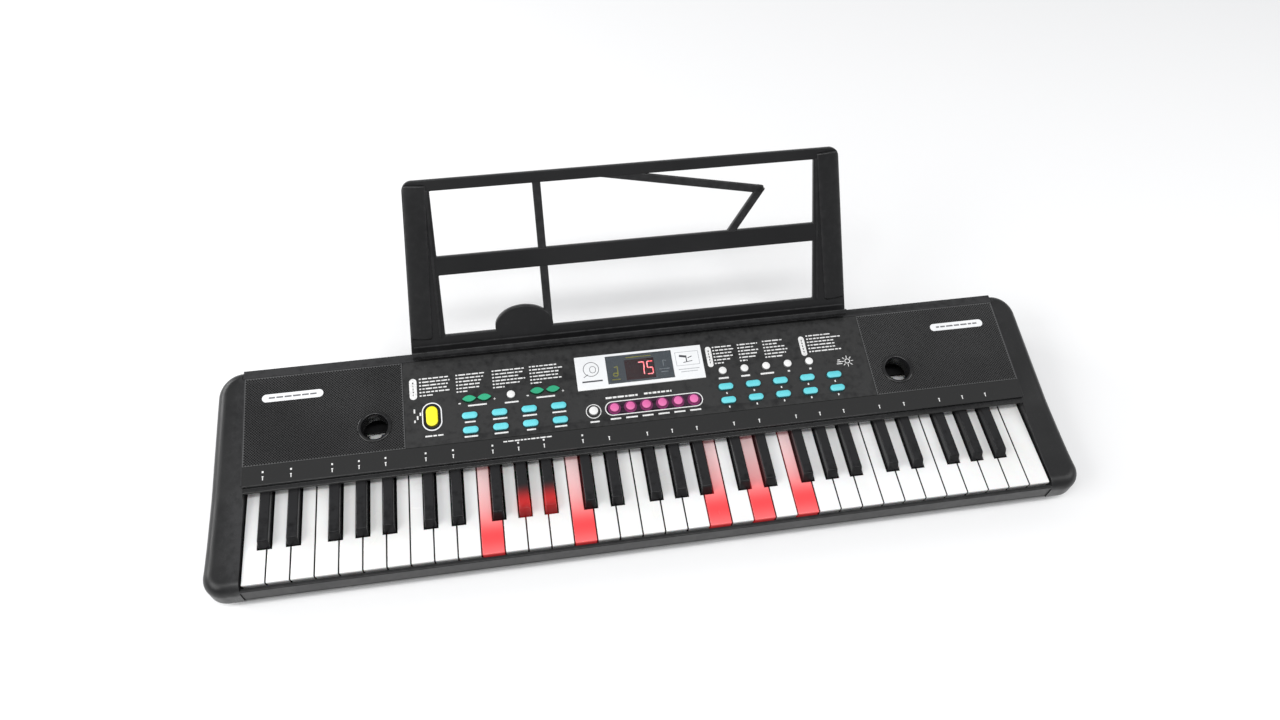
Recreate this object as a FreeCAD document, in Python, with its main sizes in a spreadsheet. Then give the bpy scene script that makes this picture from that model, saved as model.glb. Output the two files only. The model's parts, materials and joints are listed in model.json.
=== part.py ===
import FreeCAD, Part
import math
import os

import Sketcher

# Toy electronic keyboard: 36 white and 25 black mini keys under a tilted control panel,
# two speaker grilles, a two-part plastic case and a music stand that plugs in behind.
# Case frame while building: X to the right from the middle, Y back from the white keys'
# front edge, Z up from the surface that the rubber feet stand on. Millimetres, degrees.

SIZES = [
    # keys
    ("key_pitch", 20.0),
    ("key_gap", 0.8),
    ("key_top", 32.0),
    ("key_depth", 12.0),
    ("key_wall", 1.6),
    ("key_reach", 130.0),
    ("sharp_wide", 10.5),
    ("sharp_rise", 8.5),
    ("sharp_skirt", 8.0),
    ("sharp_front", 31.0),
    ("sharp_rear", 84.0),
    ("sharp_taper", 0.8),
    ("sharp_slope", 3.5),
    ("sharp_tail_drop", 1.5),
    ("outer_shift", 2.0),
    ("wide_shift", 3.0),
    # comb bars that join the keys behind, one level for each comb
    ("tail_long", 4.0),
    ("bar_deep", 16.0),
    ("bar_thick", 2.0),
    ("bar_step", 3.5),
    ("tail_wide", 6.0),
    # case
    ("end_gap", 1.2),
    ("cheek_wide", 33.6),
    ("rear_pinch", 9.2),
    ("front_edge", 6.0),
    ("rail_gap", 1.2),
    ("rail_drop", 3.0),
    ("rear_margin", 11.4),
    ("shell_wall", 2.5),
    ("corner_front", 20.0),
    ("corner_rear", 22.0),
    ("rear_round", 9.0),
    ("nose_round", 11.0),
    ("cheek_low", 2.5),
    ("cheek_knee", 9.0),
    ("split_high", 12.0),
    ("floor_thick", 2.5),
    ("base_inset", 7.0),
    ("foot_high", 2.0),
    ("foot_wide", 16.0),
    ("foot_inset", 20.0),
    ("screw_shank", 1.5),
    ("screw_head", 3.0),
    ("head_high", 2.0),
    ("head_sunk", 0.9),
    ("boss_wall", 2.0),
    ("screw_bite", 10.0),
    # control panel, tilted up towards the back
    ("panel_front", 82.5),
    ("panel_rise", 17.0),
    ("panel_tilt", 7.5),
    ("panel_deep", 104.0),
    ("strip_deep", 18.4),
    ("skin_thick", 1.6),
    ("deck_thick", 2.5),
    ("seam", 0.4),
    ("centre_half", 218.8),
    ("lip_reach", 4.5),
    ("lip_top", 4.0),
    ("lip_drop", 7.0),
    ("bezel_side", 28.9),
    ("bezel_low", 3.6),
    ("bezel_high", 2.3),
    ("bezel_thick", 1.2),
    ("window_wide", 63.1),
    ("window_deep", 28.7),
    ("window_front", 59.4),
    ("window_thick", 0.9),
    ("window_gap", 0.15),
    ("digits_wide", 30.0),
    ("digits_deep", 20.0),
    ("digits_gap", 0.3),
    ("badge_wide", 54.0),
    ("badge_deep", 7.8),
    ("badge_back", 17.6),
    ("badge_inset", 43.0),
    ("badge_thick", 0.6),
    ("port_inset", 26.8),
    ("port_back", 43.3),
    ("port_bore", 11.5),
    ("port_wall", 1.5),
    ("port_lip", 3.5),
    ("port_deep", 13.0),
    ("speaker_gap", 4.4),
    ("speaker_back", 56.0),
    ("speaker_wide", 66.0),
    ("speaker_deep", 13.0),
    ("speaker_rim", 6.0),
    # buttons
    ("cap_rise", 2.2),
    ("cap_gap", 0.35),
    ("press", 1.2),
    ("web_thick", 1.0),
    ("web_wide", 3.0),
    ("web_gap", 0.35),
    ("board_thick", 1.6),
    ("ring_thick", 0.8),
    # music stand, leaning back
    ("stand_behind", 6.3),
    ("stand_lean", 32.0),
    ("stand_high", 161.4),
    ("stand_thick", 5.0),
    ("stand_foot_half", 209.5),
    ("stand_top_half", 196.0),
    ("window_foot_half", 177.0),
    ("window_top_half", 173.0),
    ("low_rail", 15.4),
    ("mid_rail_from", 73.9),
    ("mid_rail_to", 91.4),
    ("top_rail", 10.0),
    ("motif_bar", 7.5),
    ("ledge_deep", 8.0),
    ("ledge_thick", 3.6),
    ("ledge_drop", 2.6),
    ("lip_high", 3.0),
    ("stand_gap", 0.4),
    ("tongue_wide", 40.0),
    ("tongue_long", 12.0),
    ("tongue_thick", 3.0),
    ("tongue_side", 150.0),
    ("tongue_gap", 0.3),
    ("socket_wall", 1.6),
    # battery bay and sockets
    ("cell_long", 106.0),
    ("cell_deep", 30.0),
    ("cell_high", 16.0),
    ("cell_middle", 140.0),
    ("cell_back", 12.5),
    ("bay_wall", 1.6),
    ("door_lip", 2.0),
    ("door_gap", 0.35),
    ("door_thick", 1.4),
    ("jack_bore", 1.8),
    ("jack_body", 11.0),
    ("jack_deep", 14.0),
    ("jack_nose", 3.9),
    ("inlet_wide", 9.4),
    ("inlet_high", 3.4),
    ("inlet_deep", 9.0),
    ("inlet_wall", 1.0),
    ("main_board_up", 13.0),
    ("main_board_deep", 38.0),
    ("main_board_gap", 2.5),
    # chassis under the keys
    ("chassis_front", 6.0),
    ("chassis_top", 11.0),
    ("chassis_thick", 2.0),
    ("rest_gap", 0.7),
    ("felt_thick", 1.4),
]

OCTAVES = 5
WHITES_PER_OCTAVE = 7
WHITES = OCTAVES * WHITES_PER_OCTAVE + 1
HALF_WHITES = WHITES // 2
# black key after each white of an octave: which sideways shift its note takes
SHARP_AFTER = {0: "-Sizes.outer_shift", 1: "+Sizes.outer_shift", 3: "-Sizes.wide_shift",
               4: "", 5: "+Sizes.wide_shift"}
COMB_NOTES = {"ceg": (0, 2, 4, 6), "dfa": (1, 3, 5)}

# caps of one moulded row: first x, pitch, count, distance up the panel, outline
ROWS = {
    "left_upper_buttons": (-160.8, 26.96, 4, 43.4, "slot"),
    "left_lower_buttons": (-160.8, 26.96, 4, 29.2, "slot"),
    "right_upper_buttons": (77.2, 26.3, 5, 43.9, "slot"),
    "right_lower_buttons": (77.2, 26.3, 5, 30.0, "slot"),
    "sound_buttons": (77.2, 21.1, 5, 60.6, "disc"),
    "drum_buttons": (-29.4, 14.9, 6, 35.05, "dot"),
    "volume_buttons": (-160.1, 13.8, 2, 60.1, "leaf"),
    "tempo_buttons": (-98.0, 14.7, 2, 60.8, "leaf"),
    "stop_button": (-122.1, 0.0, 1, 59.9, "disc"),
    "demo_button": (-48.8, 0.0, 1, 34.3, "dot"),
    "power_button": (-194.4, 0.0, 1, 46.7, "upright"),
}
# cap outlines: half length along X, half length up the panel
CAPS = {"slot": (7.15, 3.4), "disc": (3.9, 3.9), "dot": (4.3, 4.3), "leaf": (6.5, 3.3),
        "upright": (5.4, 9.8)}
POWER_RING = (9.0, 13.9)

doc = FreeCAD.newDocument("toy_keyboard")
pieces = []


def write_sizes():
    """Put every driving size in the spreadsheet, with its name as the alias."""
    sheet = doc.addObject("Spreadsheet::Sheet", "Sizes")
    for row, (name, value) in enumerate(SIZES, start=1):
        sheet.set(f"A{row}", name)
        sheet.set(f"B{row}", str(value))
        sheet.setAlias(f"B{row}", name)
    doc.recompute()
    return sheet


sheet = write_sizes()


def size(name):
    return float(getattr(sheet, name))


def worth(text):
    """Value of an expression that names cells."""
    return float(sheet.evalExpression(text.replace("Sizes.", "")))


# ---- places that follow from the sizes ---------------------------------------------------
# Expressions on the sheet's cells: bound objects take them as they are, and worth() gives
# their value where a shape is built from numbers.

KEYS_SIDE = f"({HALF_WHITES} * Sizes.key_pitch)"
BAR_FRONT = "(Sizes.key_reach + Sizes.tail_long)"
PANEL_BACK = "(Sizes.panel_front + Sizes.panel_deep * cos(Sizes.panel_tilt))"
REAR_EDGE = f"({PANEL_BACK} + Sizes.rear_margin)"
STAND_BACK = f"({PANEL_BACK} + Sizes.stand_behind)"
STAND_REACH = (f"({STAND_BACK} + Sizes.stand_high * sin(Sizes.stand_lean)"
               " + Sizes.stand_thick * cos(Sizes.stand_lean))")
MIDDLE_CELL = f"(({STAND_REACH} - Sizes.front_edge) / 2)"
CELL_FRONT = f"({REAR_EDGE} - Sizes.cell_back - Sizes.cell_deep)"
MAIN_BOARD_FRONT = (f"({REAR_EDGE} - Sizes.shell_wall - Sizes.main_board_gap"
                    " - Sizes.main_board_deep)")
MAIN_BOARD_TOP = "(Sizes.main_board_up + Sizes.board_thick)"
PORT_SIDE = "(Sizes.centre_half + Sizes.port_inset)"
PORT_OUTER = "(Sizes.port_bore + Sizes.port_wall)"
SPEAKER_SIDE = f"({PORT_SIDE} + {PORT_OUTER} + Sizes.speaker_gap + Sizes.speaker_wide / 2)"
BADGE_SIDE = f"({KEYS_SIDE} - Sizes.badge_inset)"
BADGE_UP = "(Sizes.panel_deep - Sizes.badge_back - Sizes.badge_deep / 2)"
BEZEL_HALF = "(Sizes.window_wide / 2 + Sizes.bezel_side)"
BEZEL_FRONT = "(Sizes.window_front - Sizes.bezel_low)"
BEZEL_REAR = "(Sizes.window_front + Sizes.window_deep + Sizes.bezel_high)"
DIGITS_UP = "(Sizes.window_front + Sizes.window_deep / 2)"
# undersides of the stack below the deck: web, its room to travel, circuit board
WEB_LOW = "(-(Sizes.skin_thick + Sizes.deck_thick + Sizes.web_gap + Sizes.web_thick))"
BOARD_TOP = f"({WEB_LOW} - Sizes.press - Sizes.web_gap)"


def keep(piece, label, placement=None):
    """Name a finished sub-part and set where it stands."""
    piece.Label = label
    if placement is not None:
        piece.Placement = placement
    pieces.append(piece)
    return piece


# Y of the middle of everything, so that the origin is under the bounding box's centre
MIDDLE = worth(MIDDLE_CELL)
LEAN = math.radians(size("stand_lean"))

X_AXIS = FreeCAD.Vector(1, 0, 0)
CASE = FreeCAD.Placement(FreeCAD.Vector(0, -MIDDLE, 0), FreeCAD.Rotation())
PANEL_AT = FreeCAD.Vector(0, size("panel_front") - MIDDLE, size("key_top") + size("panel_rise"))
PANEL = FreeCAD.Placement(PANEL_AT, FreeCAD.Rotation(X_AXIS, size("panel_tilt")))
TILT = math.radians(size("panel_tilt"))
PANEL_REAR = (size("panel_front") + size("panel_deep") * math.cos(TILT),
              size("key_top") + size("panel_rise") + size("panel_deep") * math.sin(TILT))
STAND_BASE = PANEL_REAR[1] + size("stand_thick") * math.sin(LEAN) + size("stand_gap")
STAND_AT = FreeCAD.Vector(0, worth(STAND_BACK) - MIDDLE, STAND_BASE)
STAND = FreeCAD.Placement(STAND_AT, FreeCAD.Rotation(X_AXIS, -size("stand_lean")))


# ---- bound Part primitives -------------------------------------------------------------

def box(name, corner, lengths):
    """A Part::Box in the frame being built, its corner and lengths bound to the sheet."""
    piece = doc.addObject("Part::Box", name)
    for prop, text in zip(("Length", "Width", "Height"), lengths):
        piece.setExpression(prop, text)
    for prop, text in zip("xyz", corner):
        piece.setExpression(f"Placement.Base.{prop}", text)
    return piece


def case_box(label, corner, lengths):
    """A finished box in the case frame."""
    shifted = (corner[0], f"{corner[1]} - {MIDDLE_CELL}", corner[2])
    return keep(box(label, shifted, lengths), label)


def cylinder(name, centre, radius, height, along="z"):
    piece = doc.addObject("Part::Cylinder", name)
    piece.setExpression("Radius", radius)
    piece.setExpression("Height", height)
    if along == "y":
        piece.Placement = FreeCAD.Placement(FreeCAD.Vector(), FreeCAD.Rotation(X_AXIS, -90))
    for prop, text in zip("xyz", centre):
        piece.setExpression(f"Placement.Base.{prop}", text)
    return piece


def fuse(name, shapes):
    joined = doc.addObject("Part::MultiFuse", name)
    joined.Shapes = shapes
    return joined


def cut(name, base, tool):
    result = doc.addObject("Part::Cut", name)
    result.Base = base
    result.Tool = tool
    return result


def group(name, shapes):
    """Separate solids kept in one node, such as a set of like screws."""
    together = doc.addObject("Part::Compound", name)
    together.Links = shapes
    return together


# ---- sketches with every point bound to the sheet ----------------------------------------

def sketch_on(body, role, lift=None):
    sketch = body.newObject("Sketcher::SketchObject", body.Name + "_sketch")
    plane = next(item for item in body.Origin.OriginFeatures if item.Role == role)
    sketch.AttachmentSupport = [(plane, "")]
    sketch.MapMode = "FlatFace"
    if lift:
        sketch.setExpression("AttachmentOffset.Base.z", lift)
    return sketch


def fix(sketch, geometry, point, across, up):
    """Hold one point of a sketch at two bound distances from the origin."""
    for kind, text in (("DistanceX", across), ("DistanceY", up)):
        number = sketch.addConstraint(
            Sketcher.Constraint(kind, -1, 1, geometry, point, worth(text)))
        sketch.setExpression(f"Constraints[{number}]", text)


def add_polygon(sketch, corners):
    points = [FreeCAD.Vector(worth(across), worth(up), 0) for across, up in corners]
    first = sketch.GeometryCount
    count = len(points)
    for index in range(count):
        sketch.addGeometry(Part.LineSegment(points[index], points[(index + 1) % count]), False)
    for index in range(count):
        after = first + (index + 1) % count
        sketch.addConstraint(Sketcher.Constraint("Coincident", first + index, 2, after, 1))
        fix(sketch, first + index, 1, *corners[index])


def add_rectangle(sketch, left, right, low, high):
    add_polygon(sketch, [(left, low), (right, low), (right, high), (left, high)])


def add_circle(sketch, across, up, radius):
    centre = FreeCAD.Vector(worth(across), worth(up), 0)
    circle = Part.Circle(centre, FreeCAD.Vector(0, 0, 1), worth(radius))
    number = sketch.addGeometry(circle, False)
    fix(sketch, number, 3, across, up)
    held = sketch.addConstraint(Sketcher.Constraint("Radius", number, worth(radius)))
    sketch.setExpression(f"Constraints[{held}]", radius)


def add_slot(sketch, across, up, half_across, half_up):
    """A round-ended slot, lying or upright, as two lines and two tangent half circles."""
    lying = worth(half_across) > worth(half_up)
    radius = half_up if lying else half_across
    reach = f"(({half_across}) - ({half_up}))"
    if lying:
        ends = [(f"{across} + {reach}", up), (f"{across} - {reach}", up)]
        turn = -90
    else:
        ends = [(across, f"{up} - {reach}"), (across, f"{up} + {reach}")]
        turn = 0
    first = sketch.GeometryCount
    normal = FreeCAD.Vector(0, 0, 1)
    arcs = []
    for number, (end_x, end_y) in enumerate(ends):
        centre = FreeCAD.Vector(worth(end_x), worth(end_y), 0)
        start = math.radians(turn + 180 * number)
        round_end = Part.ArcOfCircle(Part.Circle(centre, normal, worth(radius)),
                                     start, start + math.pi)
        arcs.append(round_end)
        sketch.addGeometry(round_end, False)
    for number in (0, 1):
        sketch.addGeometry(Part.LineSegment(arcs[number].EndPoint,
                                            arcs[1 - number].StartPoint), False)
    for number in (0, 1):
        line = first + 2 + number
        sketch.addConstraint(Sketcher.Constraint("Tangent", first + number, 2, line, 1))
        sketch.addConstraint(Sketcher.Constraint("Tangent", line, 2, first + 1 - number, 1))
        fix(sketch, first + number, 3, *ends[number])
    held = sketch.addConstraint(Sketcher.Constraint("Radius", first, worth(radius)))
    sketch.setExpression(f"Constraints[{held}]", radius)


def add_leaf(sketch, across, up, half_across, half_up):
    """A pointed oval from two arcs that meet at its ends."""
    reach, rise = worth(half_across), worth(half_up)
    radius = (reach ** 2 + rise ** 2) / (2 * rise)
    bound = f"((({half_across})^2 + ({half_up})^2) / (2 * ({half_up})))"
    x, y = worth(across), worth(up)
    angle = math.asin(reach / radius)
    normal = FreeCAD.Vector(0, 0, 1)
    top = Part.Circle(FreeCAD.Vector(x, y + rise - radius, 0), normal, radius)
    low = Part.Circle(FreeCAD.Vector(x, y - rise + radius, 0), normal, radius)
    upright = math.pi / 2
    first = sketch.addGeometry(Part.ArcOfCircle(top, upright - angle, upright + angle), False)
    sketch.addGeometry(Part.ArcOfCircle(low, 3 * upright - angle, 3 * upright + angle), False)
    sketch.addConstraint(Sketcher.Constraint("Coincident", first, 2, first + 1, 1))
    sketch.addConstraint(Sketcher.Constraint("Coincident", first + 1, 2, first, 1))
    fix(sketch, first, 1, f"{across} + ({half_across})", up)
    fix(sketch, first, 2, f"{across} - ({half_across})", up)
    for number in (first, first + 1):
        held = sketch.addConstraint(Sketcher.Constraint("Radius", number, radius))
        sketch.setExpression(f"Constraints[{held}]", bound)


def pad(body, sketch, length):
    feature = body.newObject("PartDesign::Pad", body.Name + "_pad")
    feature.Profile = sketch
    feature.setExpression("Length", length)
    sketch.Visibility = False
    return feature


def flat_body(name, lift, thickness, outlines):
    """A padded plate lying on the frame's XY plane, its loops drawn by the callers given."""
    body = doc.addObject("PartDesign::Body", name)
    sketch = sketch_on(body, "XY_Plane", lift)
    for draw, *arguments in outlines:
        draw(sketch, *arguments)
    pad(body, sketch, thickness)
    return body


def plate(label, placement, lift, thickness, outlines):
    """A flat body kept as a sub-part."""
    return keep(flat_body(label, lift, thickness, outlines), label, placement)


# ---- keys ---------------------------------------------------------------------------------

def white_left(number):
    return f"({number - HALF_WHITES}) * Sizes.key_pitch + Sizes.key_gap / 2"


def has_sharp(edge):
    """Whether a black key sits over the joint on the left of this white key."""
    return 0 < edge < WHITES - 1 and (edge - 1) % WHITES_PER_OCTAVE in SHARP_AFTER


def sharp_middle(edge):
    shift = SHARP_AFTER[(edge - 1) % WHITES_PER_OCTAVE]
    return f"({edge - HALF_WHITES}) * Sizes.key_pitch {shift}"


def rear_sides(number):
    """Left and right of a white key behind its black neighbours' fronts."""
    half = "(Sizes.sharp_wide / 2 + Sizes.key_gap)"
    left = white_left(number)
    right = f"{white_left(number + 1)} - Sizes.key_gap"
    if has_sharp(number):
        left = f"{sharp_middle(number)} + {half}"
    if has_sharp(number + 1):
        right = f"{sharp_middle(number + 1)} - {half}"
    return left, right


def tail(name, middle, level):
    """Thin strip from a key's rear to its comb's bar."""
    return box(name, (f"{middle} - Sizes.tail_wide / 2", "Sizes.key_reach - Sizes.key_wall / 2",
                      level),
               ("Sizes.tail_wide", "Sizes.tail_long + Sizes.key_wall",
                "Sizes.bar_thick"))


def hollow(name, left, right, front, rear, low, high):
    """Space inside a key's shell, open below."""
    return box(name, (f"{left} + Sizes.key_wall", front, f"{low} - Sizes.key_wall"),
               (f"({right}) - ({left}) - 2 * Sizes.key_wall", f"({rear}) - ({front})",
                f"({high}) - ({low})"))


def white_key(number, level):
    """Shells and hollows of one white key."""
    left = white_left(number)
    right = f"{white_left(number + 1)} - Sizes.key_gap"
    step = "Sizes.sharp_front - Sizes.key_gap"
    low = "Sizes.key_top - Sizes.key_depth"
    rear_left, rear_right = rear_sides(number)
    solids = [
        box("white", (left, "0", low), (f"({right}) - ({left})", step, "Sizes.key_depth")),
        box("white", (rear_left, f"{step} - Sizes.key_wall", low),
            (f"({rear_right}) - ({rear_left})", f"Sizes.key_reach - ({step}) + Sizes.key_wall",
             "Sizes.key_depth")),
        tail("tail", f"(({rear_left}) + ({rear_right})) / 2", level),
    ]
    spaces = [
        hollow("space", left, right, "Sizes.key_wall", f"{step} - Sizes.key_wall", low,
               "Sizes.key_top"),
        hollow("space", rear_left, rear_right, f"{step} + Sizes.key_wall",
               "Sizes.key_reach - Sizes.key_wall", low, "Sizes.key_top"),
    ]
    return solids, spaces


def sharp_cap(middle):
    """Tapered top of a black key, its front sloping back."""
    cap = doc.addObject("Part::Wedge", "cap")
    cap.Placement = FreeCAD.Placement(FreeCAD.Vector(), FreeCAD.Rotation(X_AXIS, 90))
    long = "(Sizes.sharp_rear - Sizes.sharp_front)"
    bound = {"Xmin": "0", "Ymin": "0", "Zmin": "0", "X2min": "Sizes.sharp_taper", "Z2min": "0",
             "Xmax": "Sizes.sharp_wide", "Ymax": "Sizes.sharp_rise", "Zmax": long,
             "X2max": "Sizes.sharp_wide - Sizes.sharp_taper",
             "Z2max": f"{long} - Sizes.sharp_slope"}
    for prop, text in bound.items():
        cap.setExpression(prop, text)
    place = (f"{middle} - Sizes.sharp_wide / 2", "Sizes.sharp_rear", "Sizes.key_top")
    for prop, text in zip("xyz", place):
        cap.setExpression(f"Placement.Base.{prop}", text)
    return cap


def black_key(edge, level):
    middle = sharp_middle(edge)
    left = f"{middle} - Sizes.sharp_wide / 2"
    right = f"{middle} + Sizes.sharp_wide / 2"
    low = "Sizes.key_top - Sizes.sharp_skirt"
    solids = [
        sharp_cap(middle),
        box("skirt", (left, "Sizes.sharp_front", low),
            ("Sizes.sharp_wide", "Sizes.sharp_rear - Sizes.sharp_front", "Sizes.sharp_skirt")),
        box("skirt", (left, "Sizes.sharp_rear - Sizes.key_wall", low),
            ("Sizes.sharp_wide", "Sizes.key_reach - Sizes.sharp_rear + Sizes.key_wall",
             "Sizes.sharp_skirt - Sizes.sharp_tail_drop")),
        tail("tail", middle, level),
    ]
    spaces = [
        hollow("space", left, right, "Sizes.sharp_front + Sizes.key_wall",
               "Sizes.sharp_rear - Sizes.key_wall", low, "Sizes.key_top"),
        hollow("space", left, right, "Sizes.sharp_rear + Sizes.key_wall",
               "Sizes.key_reach - Sizes.key_wall", low, "Sizes.key_top - Sizes.sharp_tail_drop"),
    ]
    return solids, spaces


def bar_level(step):
    return f"Sizes.key_top - Sizes.key_depth + {step} * Sizes.bar_step"


def comb(label, first, count, made, level):
    """One moulded comb: its keys and the bar across their rear ends."""
    bar = box("bar", (white_left(first), BAR_FRONT, level),
              (f"{count} * Sizes.key_pitch - Sizes.key_gap", "Sizes.bar_deep",
               "Sizes.bar_thick"))
    solids = [bar]
    spaces = []
    for shells, hollows in made:
        solids += shells
        spaces += hollows
    whole = fuse(label + "_shell", solids)
    inside = fuse(label + "_inside", spaces)
    return keep(cut(label, whole, inside), label, CASE)


def make_keys():
    for octave in range(OCTAVES):
        first = octave * WHITES_PER_OCTAVE
        for step, (notes, places) in enumerate(COMB_NOTES.items()):
            level = bar_level(step)
            made = [white_key(first + place, level) for place in places]
            comb(f"white_keys_{notes}_{octave + 1}", first, WHITES_PER_OCTAVE, made, level)
        level = bar_level(2)
        made = [black_key(first + place + 1, level) for place in SHARP_AFTER]
        comb(f"black_keys_{octave + 1}", first, WHITES_PER_OCTAVE, made, level)
    level = bar_level(0)
    comb("white_key_high_c", WHITES - 1, 1, [white_key(WHITES - 1, level)], level)


# ---- case -----------------------------------------------------------------------------------

KEYS_HALF = worth(KEYS_SIDE) + size("end_gap")
FRONT_HALF = worth(KEYS_SIDE) + size("cheek_wide")
REAR_Y = worth(REAR_EDGE)
REAR_HALF = FRONT_HALF - size("rear_pinch")
TALL = PANEL_REAR[1] + size("rear_round")


def outline(inset, low, high):
    """The case's plan, tapering to the back with round corners, between two heights."""
    front, rear = -size("front_edge") + inset, REAR_Y - inset
    corners = [(-FRONT_HALF + inset, front), (FRONT_HALF - inset, front),
               (REAR_HALF - inset, rear), (-REAR_HALF + inset, rear)]
    points = [FreeCAD.Vector(x, y, low) for x, y in corners]
    block = Part.Face(Part.makePolygon(points + points[:1])).extrude(
        FreeCAD.Vector(0, 0, high - low))
    for radius, back in ((size("corner_front"), False), (size("corner_rear"), True)):
        half_way = (front + rear) / 2
        upright = [edge for edge in block.Edges if is_upright(edge)
                   and (edge.CenterOfMass.y > half_way) == back
                   and edge.Curve.TypeId == "Part::GeomLine"
                   and is_corner(edge, corners)]
        block = block.makeFillet(radius - inset, upright)
    return block


def is_upright(edge):
    ends = [vertex.Point for vertex in edge.Vertexes]
    return len(ends) == 2 and abs(ends[0].x - ends[1].x) + abs(ends[0].y - ends[1].y) < 1e-6


def is_corner(edge, corners):
    middle = edge.CenterOfMass
    return any(abs(middle.x - x) + abs(middle.y - y) < 1e-3 for x, y in corners)


def side_prism(points, half):
    """A side view, as (y, z) points, drawn out across the case."""
    corners = [FreeCAD.Vector(-half, y, z) for y, z in points]
    return Part.Face(Part.makePolygon(corners + corners[:1])).extrude(
        FreeCAD.Vector(2 * half, 0, 0))


def on_panel(up, above):
    """Side view point at a distance up the panel and above its skin."""
    return (size("panel_front") + up * math.cos(TILT) - above * math.sin(TILT),
            size("key_top") + size("panel_rise") + up * math.sin(TILT) + above * math.cos(TILT))


def rounded_prism(drop, half):
    """The cheek profile drawn out across the case, its nose and rear top edge as arcs."""
    keys = size("key_top")
    front, rear = -size("front_edge") + drop, REAR_Y - drop
    top, back = keys + size("cheek_low") - drop, PANEL_REAR[1] - drop
    nose, round_off = size("nose_round") - drop, size("rear_round") - drop
    bend = math.sqrt(0.5)
    points = {
        "nose low": (front, top - nose),
        "nose middle": (front + nose * (1 - bend), top - nose * (1 - bend)),
        "nose high": (front + nose, top),
        "knee": (size("panel_front"), keys + size("cheek_knee") - drop),
        "back": (PANEL_REAR[0] - drop, back),
        "rear high": (rear - round_off, back),
        "rear middle": (rear - round_off * (1 - bend), back - round_off * (1 - bend)),
        "rear low": (rear, back - round_off),
        "foot rear": (rear, 0),
        "foot front": (front, 0),
    }
    at = {name: FreeCAD.Vector(-half, y, z) for name, (y, z) in points.items()}
    edges = [Part.Arc(at["nose low"], at["nose middle"], at["nose high"]).toShape(),
             Part.makeLine(at["nose high"], at["knee"]), Part.makeLine(at["knee"], at["back"])]
    if (at["rear high"] - at["back"]).Length > 1e-6:
        edges.append(Part.makeLine(at["back"], at["rear high"]))
    edges += [Part.Arc(at["rear high"], at["rear middle"], at["rear low"]).toShape(),
              Part.makeLine(at["rear low"], at["foot rear"]),
              Part.makeLine(at["foot rear"], at["foot front"]),
              Part.makeLine(at["foot front"], at["nose low"])]
    return Part.Face(Part.Wire(edges)).extrude(FreeCAD.Vector(2 * half, 0, 0))


def rounded_block():
    """Solid outside of the upper case: its plan and its side view taken together."""
    solid = outline(0, size("split_high"), TALL)
    return solid.common(rounded_prism(0, FRONT_HALF + 1))


def block(left, right, front, rear, low, high):
    return Part.makeBox(right - left, rear - front, high - low,
                        FreeCAD.Vector(left, front, low))


def cap_prism(kind, half, grow, low, high):
    """A button's outline, grown all round, between two heights over the panel."""
    across, up = half[0] + grow, half[1] + grow
    if kind in ("disc", "dot"):
        return Part.makeCylinder(across, high - low, FreeCAD.Vector(0, 0, low))
    radius = min(across, up)
    reach = abs(across - up)
    shapes = [block(-across if across < up else -reach, across if across < up else reach,
                    -reach if across < up else -up, reach if across < up else up, low, high)]
    for side in (-reach, reach):
        at = FreeCAD.Vector(0, side, low) if across < up else FreeCAD.Vector(side, 0, low)
        shapes.append(Part.makeCylinder(radius, high - low, at))
    return shapes[0].multiFuse(shapes[1:]).removeSplitter()


def deck_holes():
    """Every opening through the deck under the panel, in the panel's frame."""
    low, high = -40.0, 5.0
    shapes = []
    for first, pitch, count, up, kind in ROWS.values():
        for number in range(count):
            hole = cap_prism(kind, CAPS[kind], 2 * size("cap_gap"), low, high)
            hole.translate(FreeCAD.Vector(first + number * pitch, up, 0))
            shapes.append(hole)
    middle = worth(DIGITS_UP)
    room = size("digits_gap") + size("seam") / 2
    half_wide, half_deep = size("digits_wide") / 2 + room, size("digits_deep") / 2 + room
    shapes.append(block(-half_wide, half_wide, middle - half_deep, middle + half_deep, low, high))
    for side in (-1, 1):
        port = FreeCAD.Vector(side * worth(PORT_SIDE), size("port_back"), low)
        shapes.append(Part.makeCylinder(worth(PORT_OUTER), high - low, port))
        horn = FreeCAD.Vector(side * worth(SPEAKER_SIDE), size("speaker_back"), low)
        radius = size("speaker_wide") / 2 - size("speaker_rim")
        shapes.append(Part.makeCylinder(radius, high - low, horn))
    together = Part.makeCompound(shapes)
    together.Placement = FreeCAD.Placement(
        FreeCAD.Vector(0, size("panel_front"), size("key_top") + size("panel_rise")),
        PANEL.Rotation)
    return together


def tongue_prism(side, grow, low, high):
    """A stand tongue in the case frame, grown all round, between two slant heights."""
    half = size("tongue_wide") / 2 + grow
    thick = size("tongue_thick") / 2 + grow
    middle = size("stand_thick") / 2
    solid = block(-half, half, middle - thick, middle + thick, low, high)
    solid.Placement = FreeCAD.Placement(
        FreeCAD.Vector(side * size("tongue_side"), worth(STAND_BACK), STAND_BASE),
        STAND.Rotation)
    return solid


FRONT_SCREW_Y = 22.0
MIDDLE_SCREW_Y = 96.0
REAR_SCREW_BACK = 29.0
REAR_SCREW_SIDE = 225.0


def screw_places():
    """Where the case's screws stand: three in each cheek, two near the rear."""
    wall = size("shell_wall")
    cheek = KEYS_HALF + wall + 8
    places = []
    for side in (-1, 1):
        places += [(side * (cheek + 4), FRONT_SCREW_Y), (side * cheek, MIDDLE_SCREW_Y),
                   (side * cheek, REAR_Y - REAR_SCREW_BACK),
                   (side * REAR_SCREW_SIDE, REAR_Y - wall - 6)]
    return places


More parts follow.
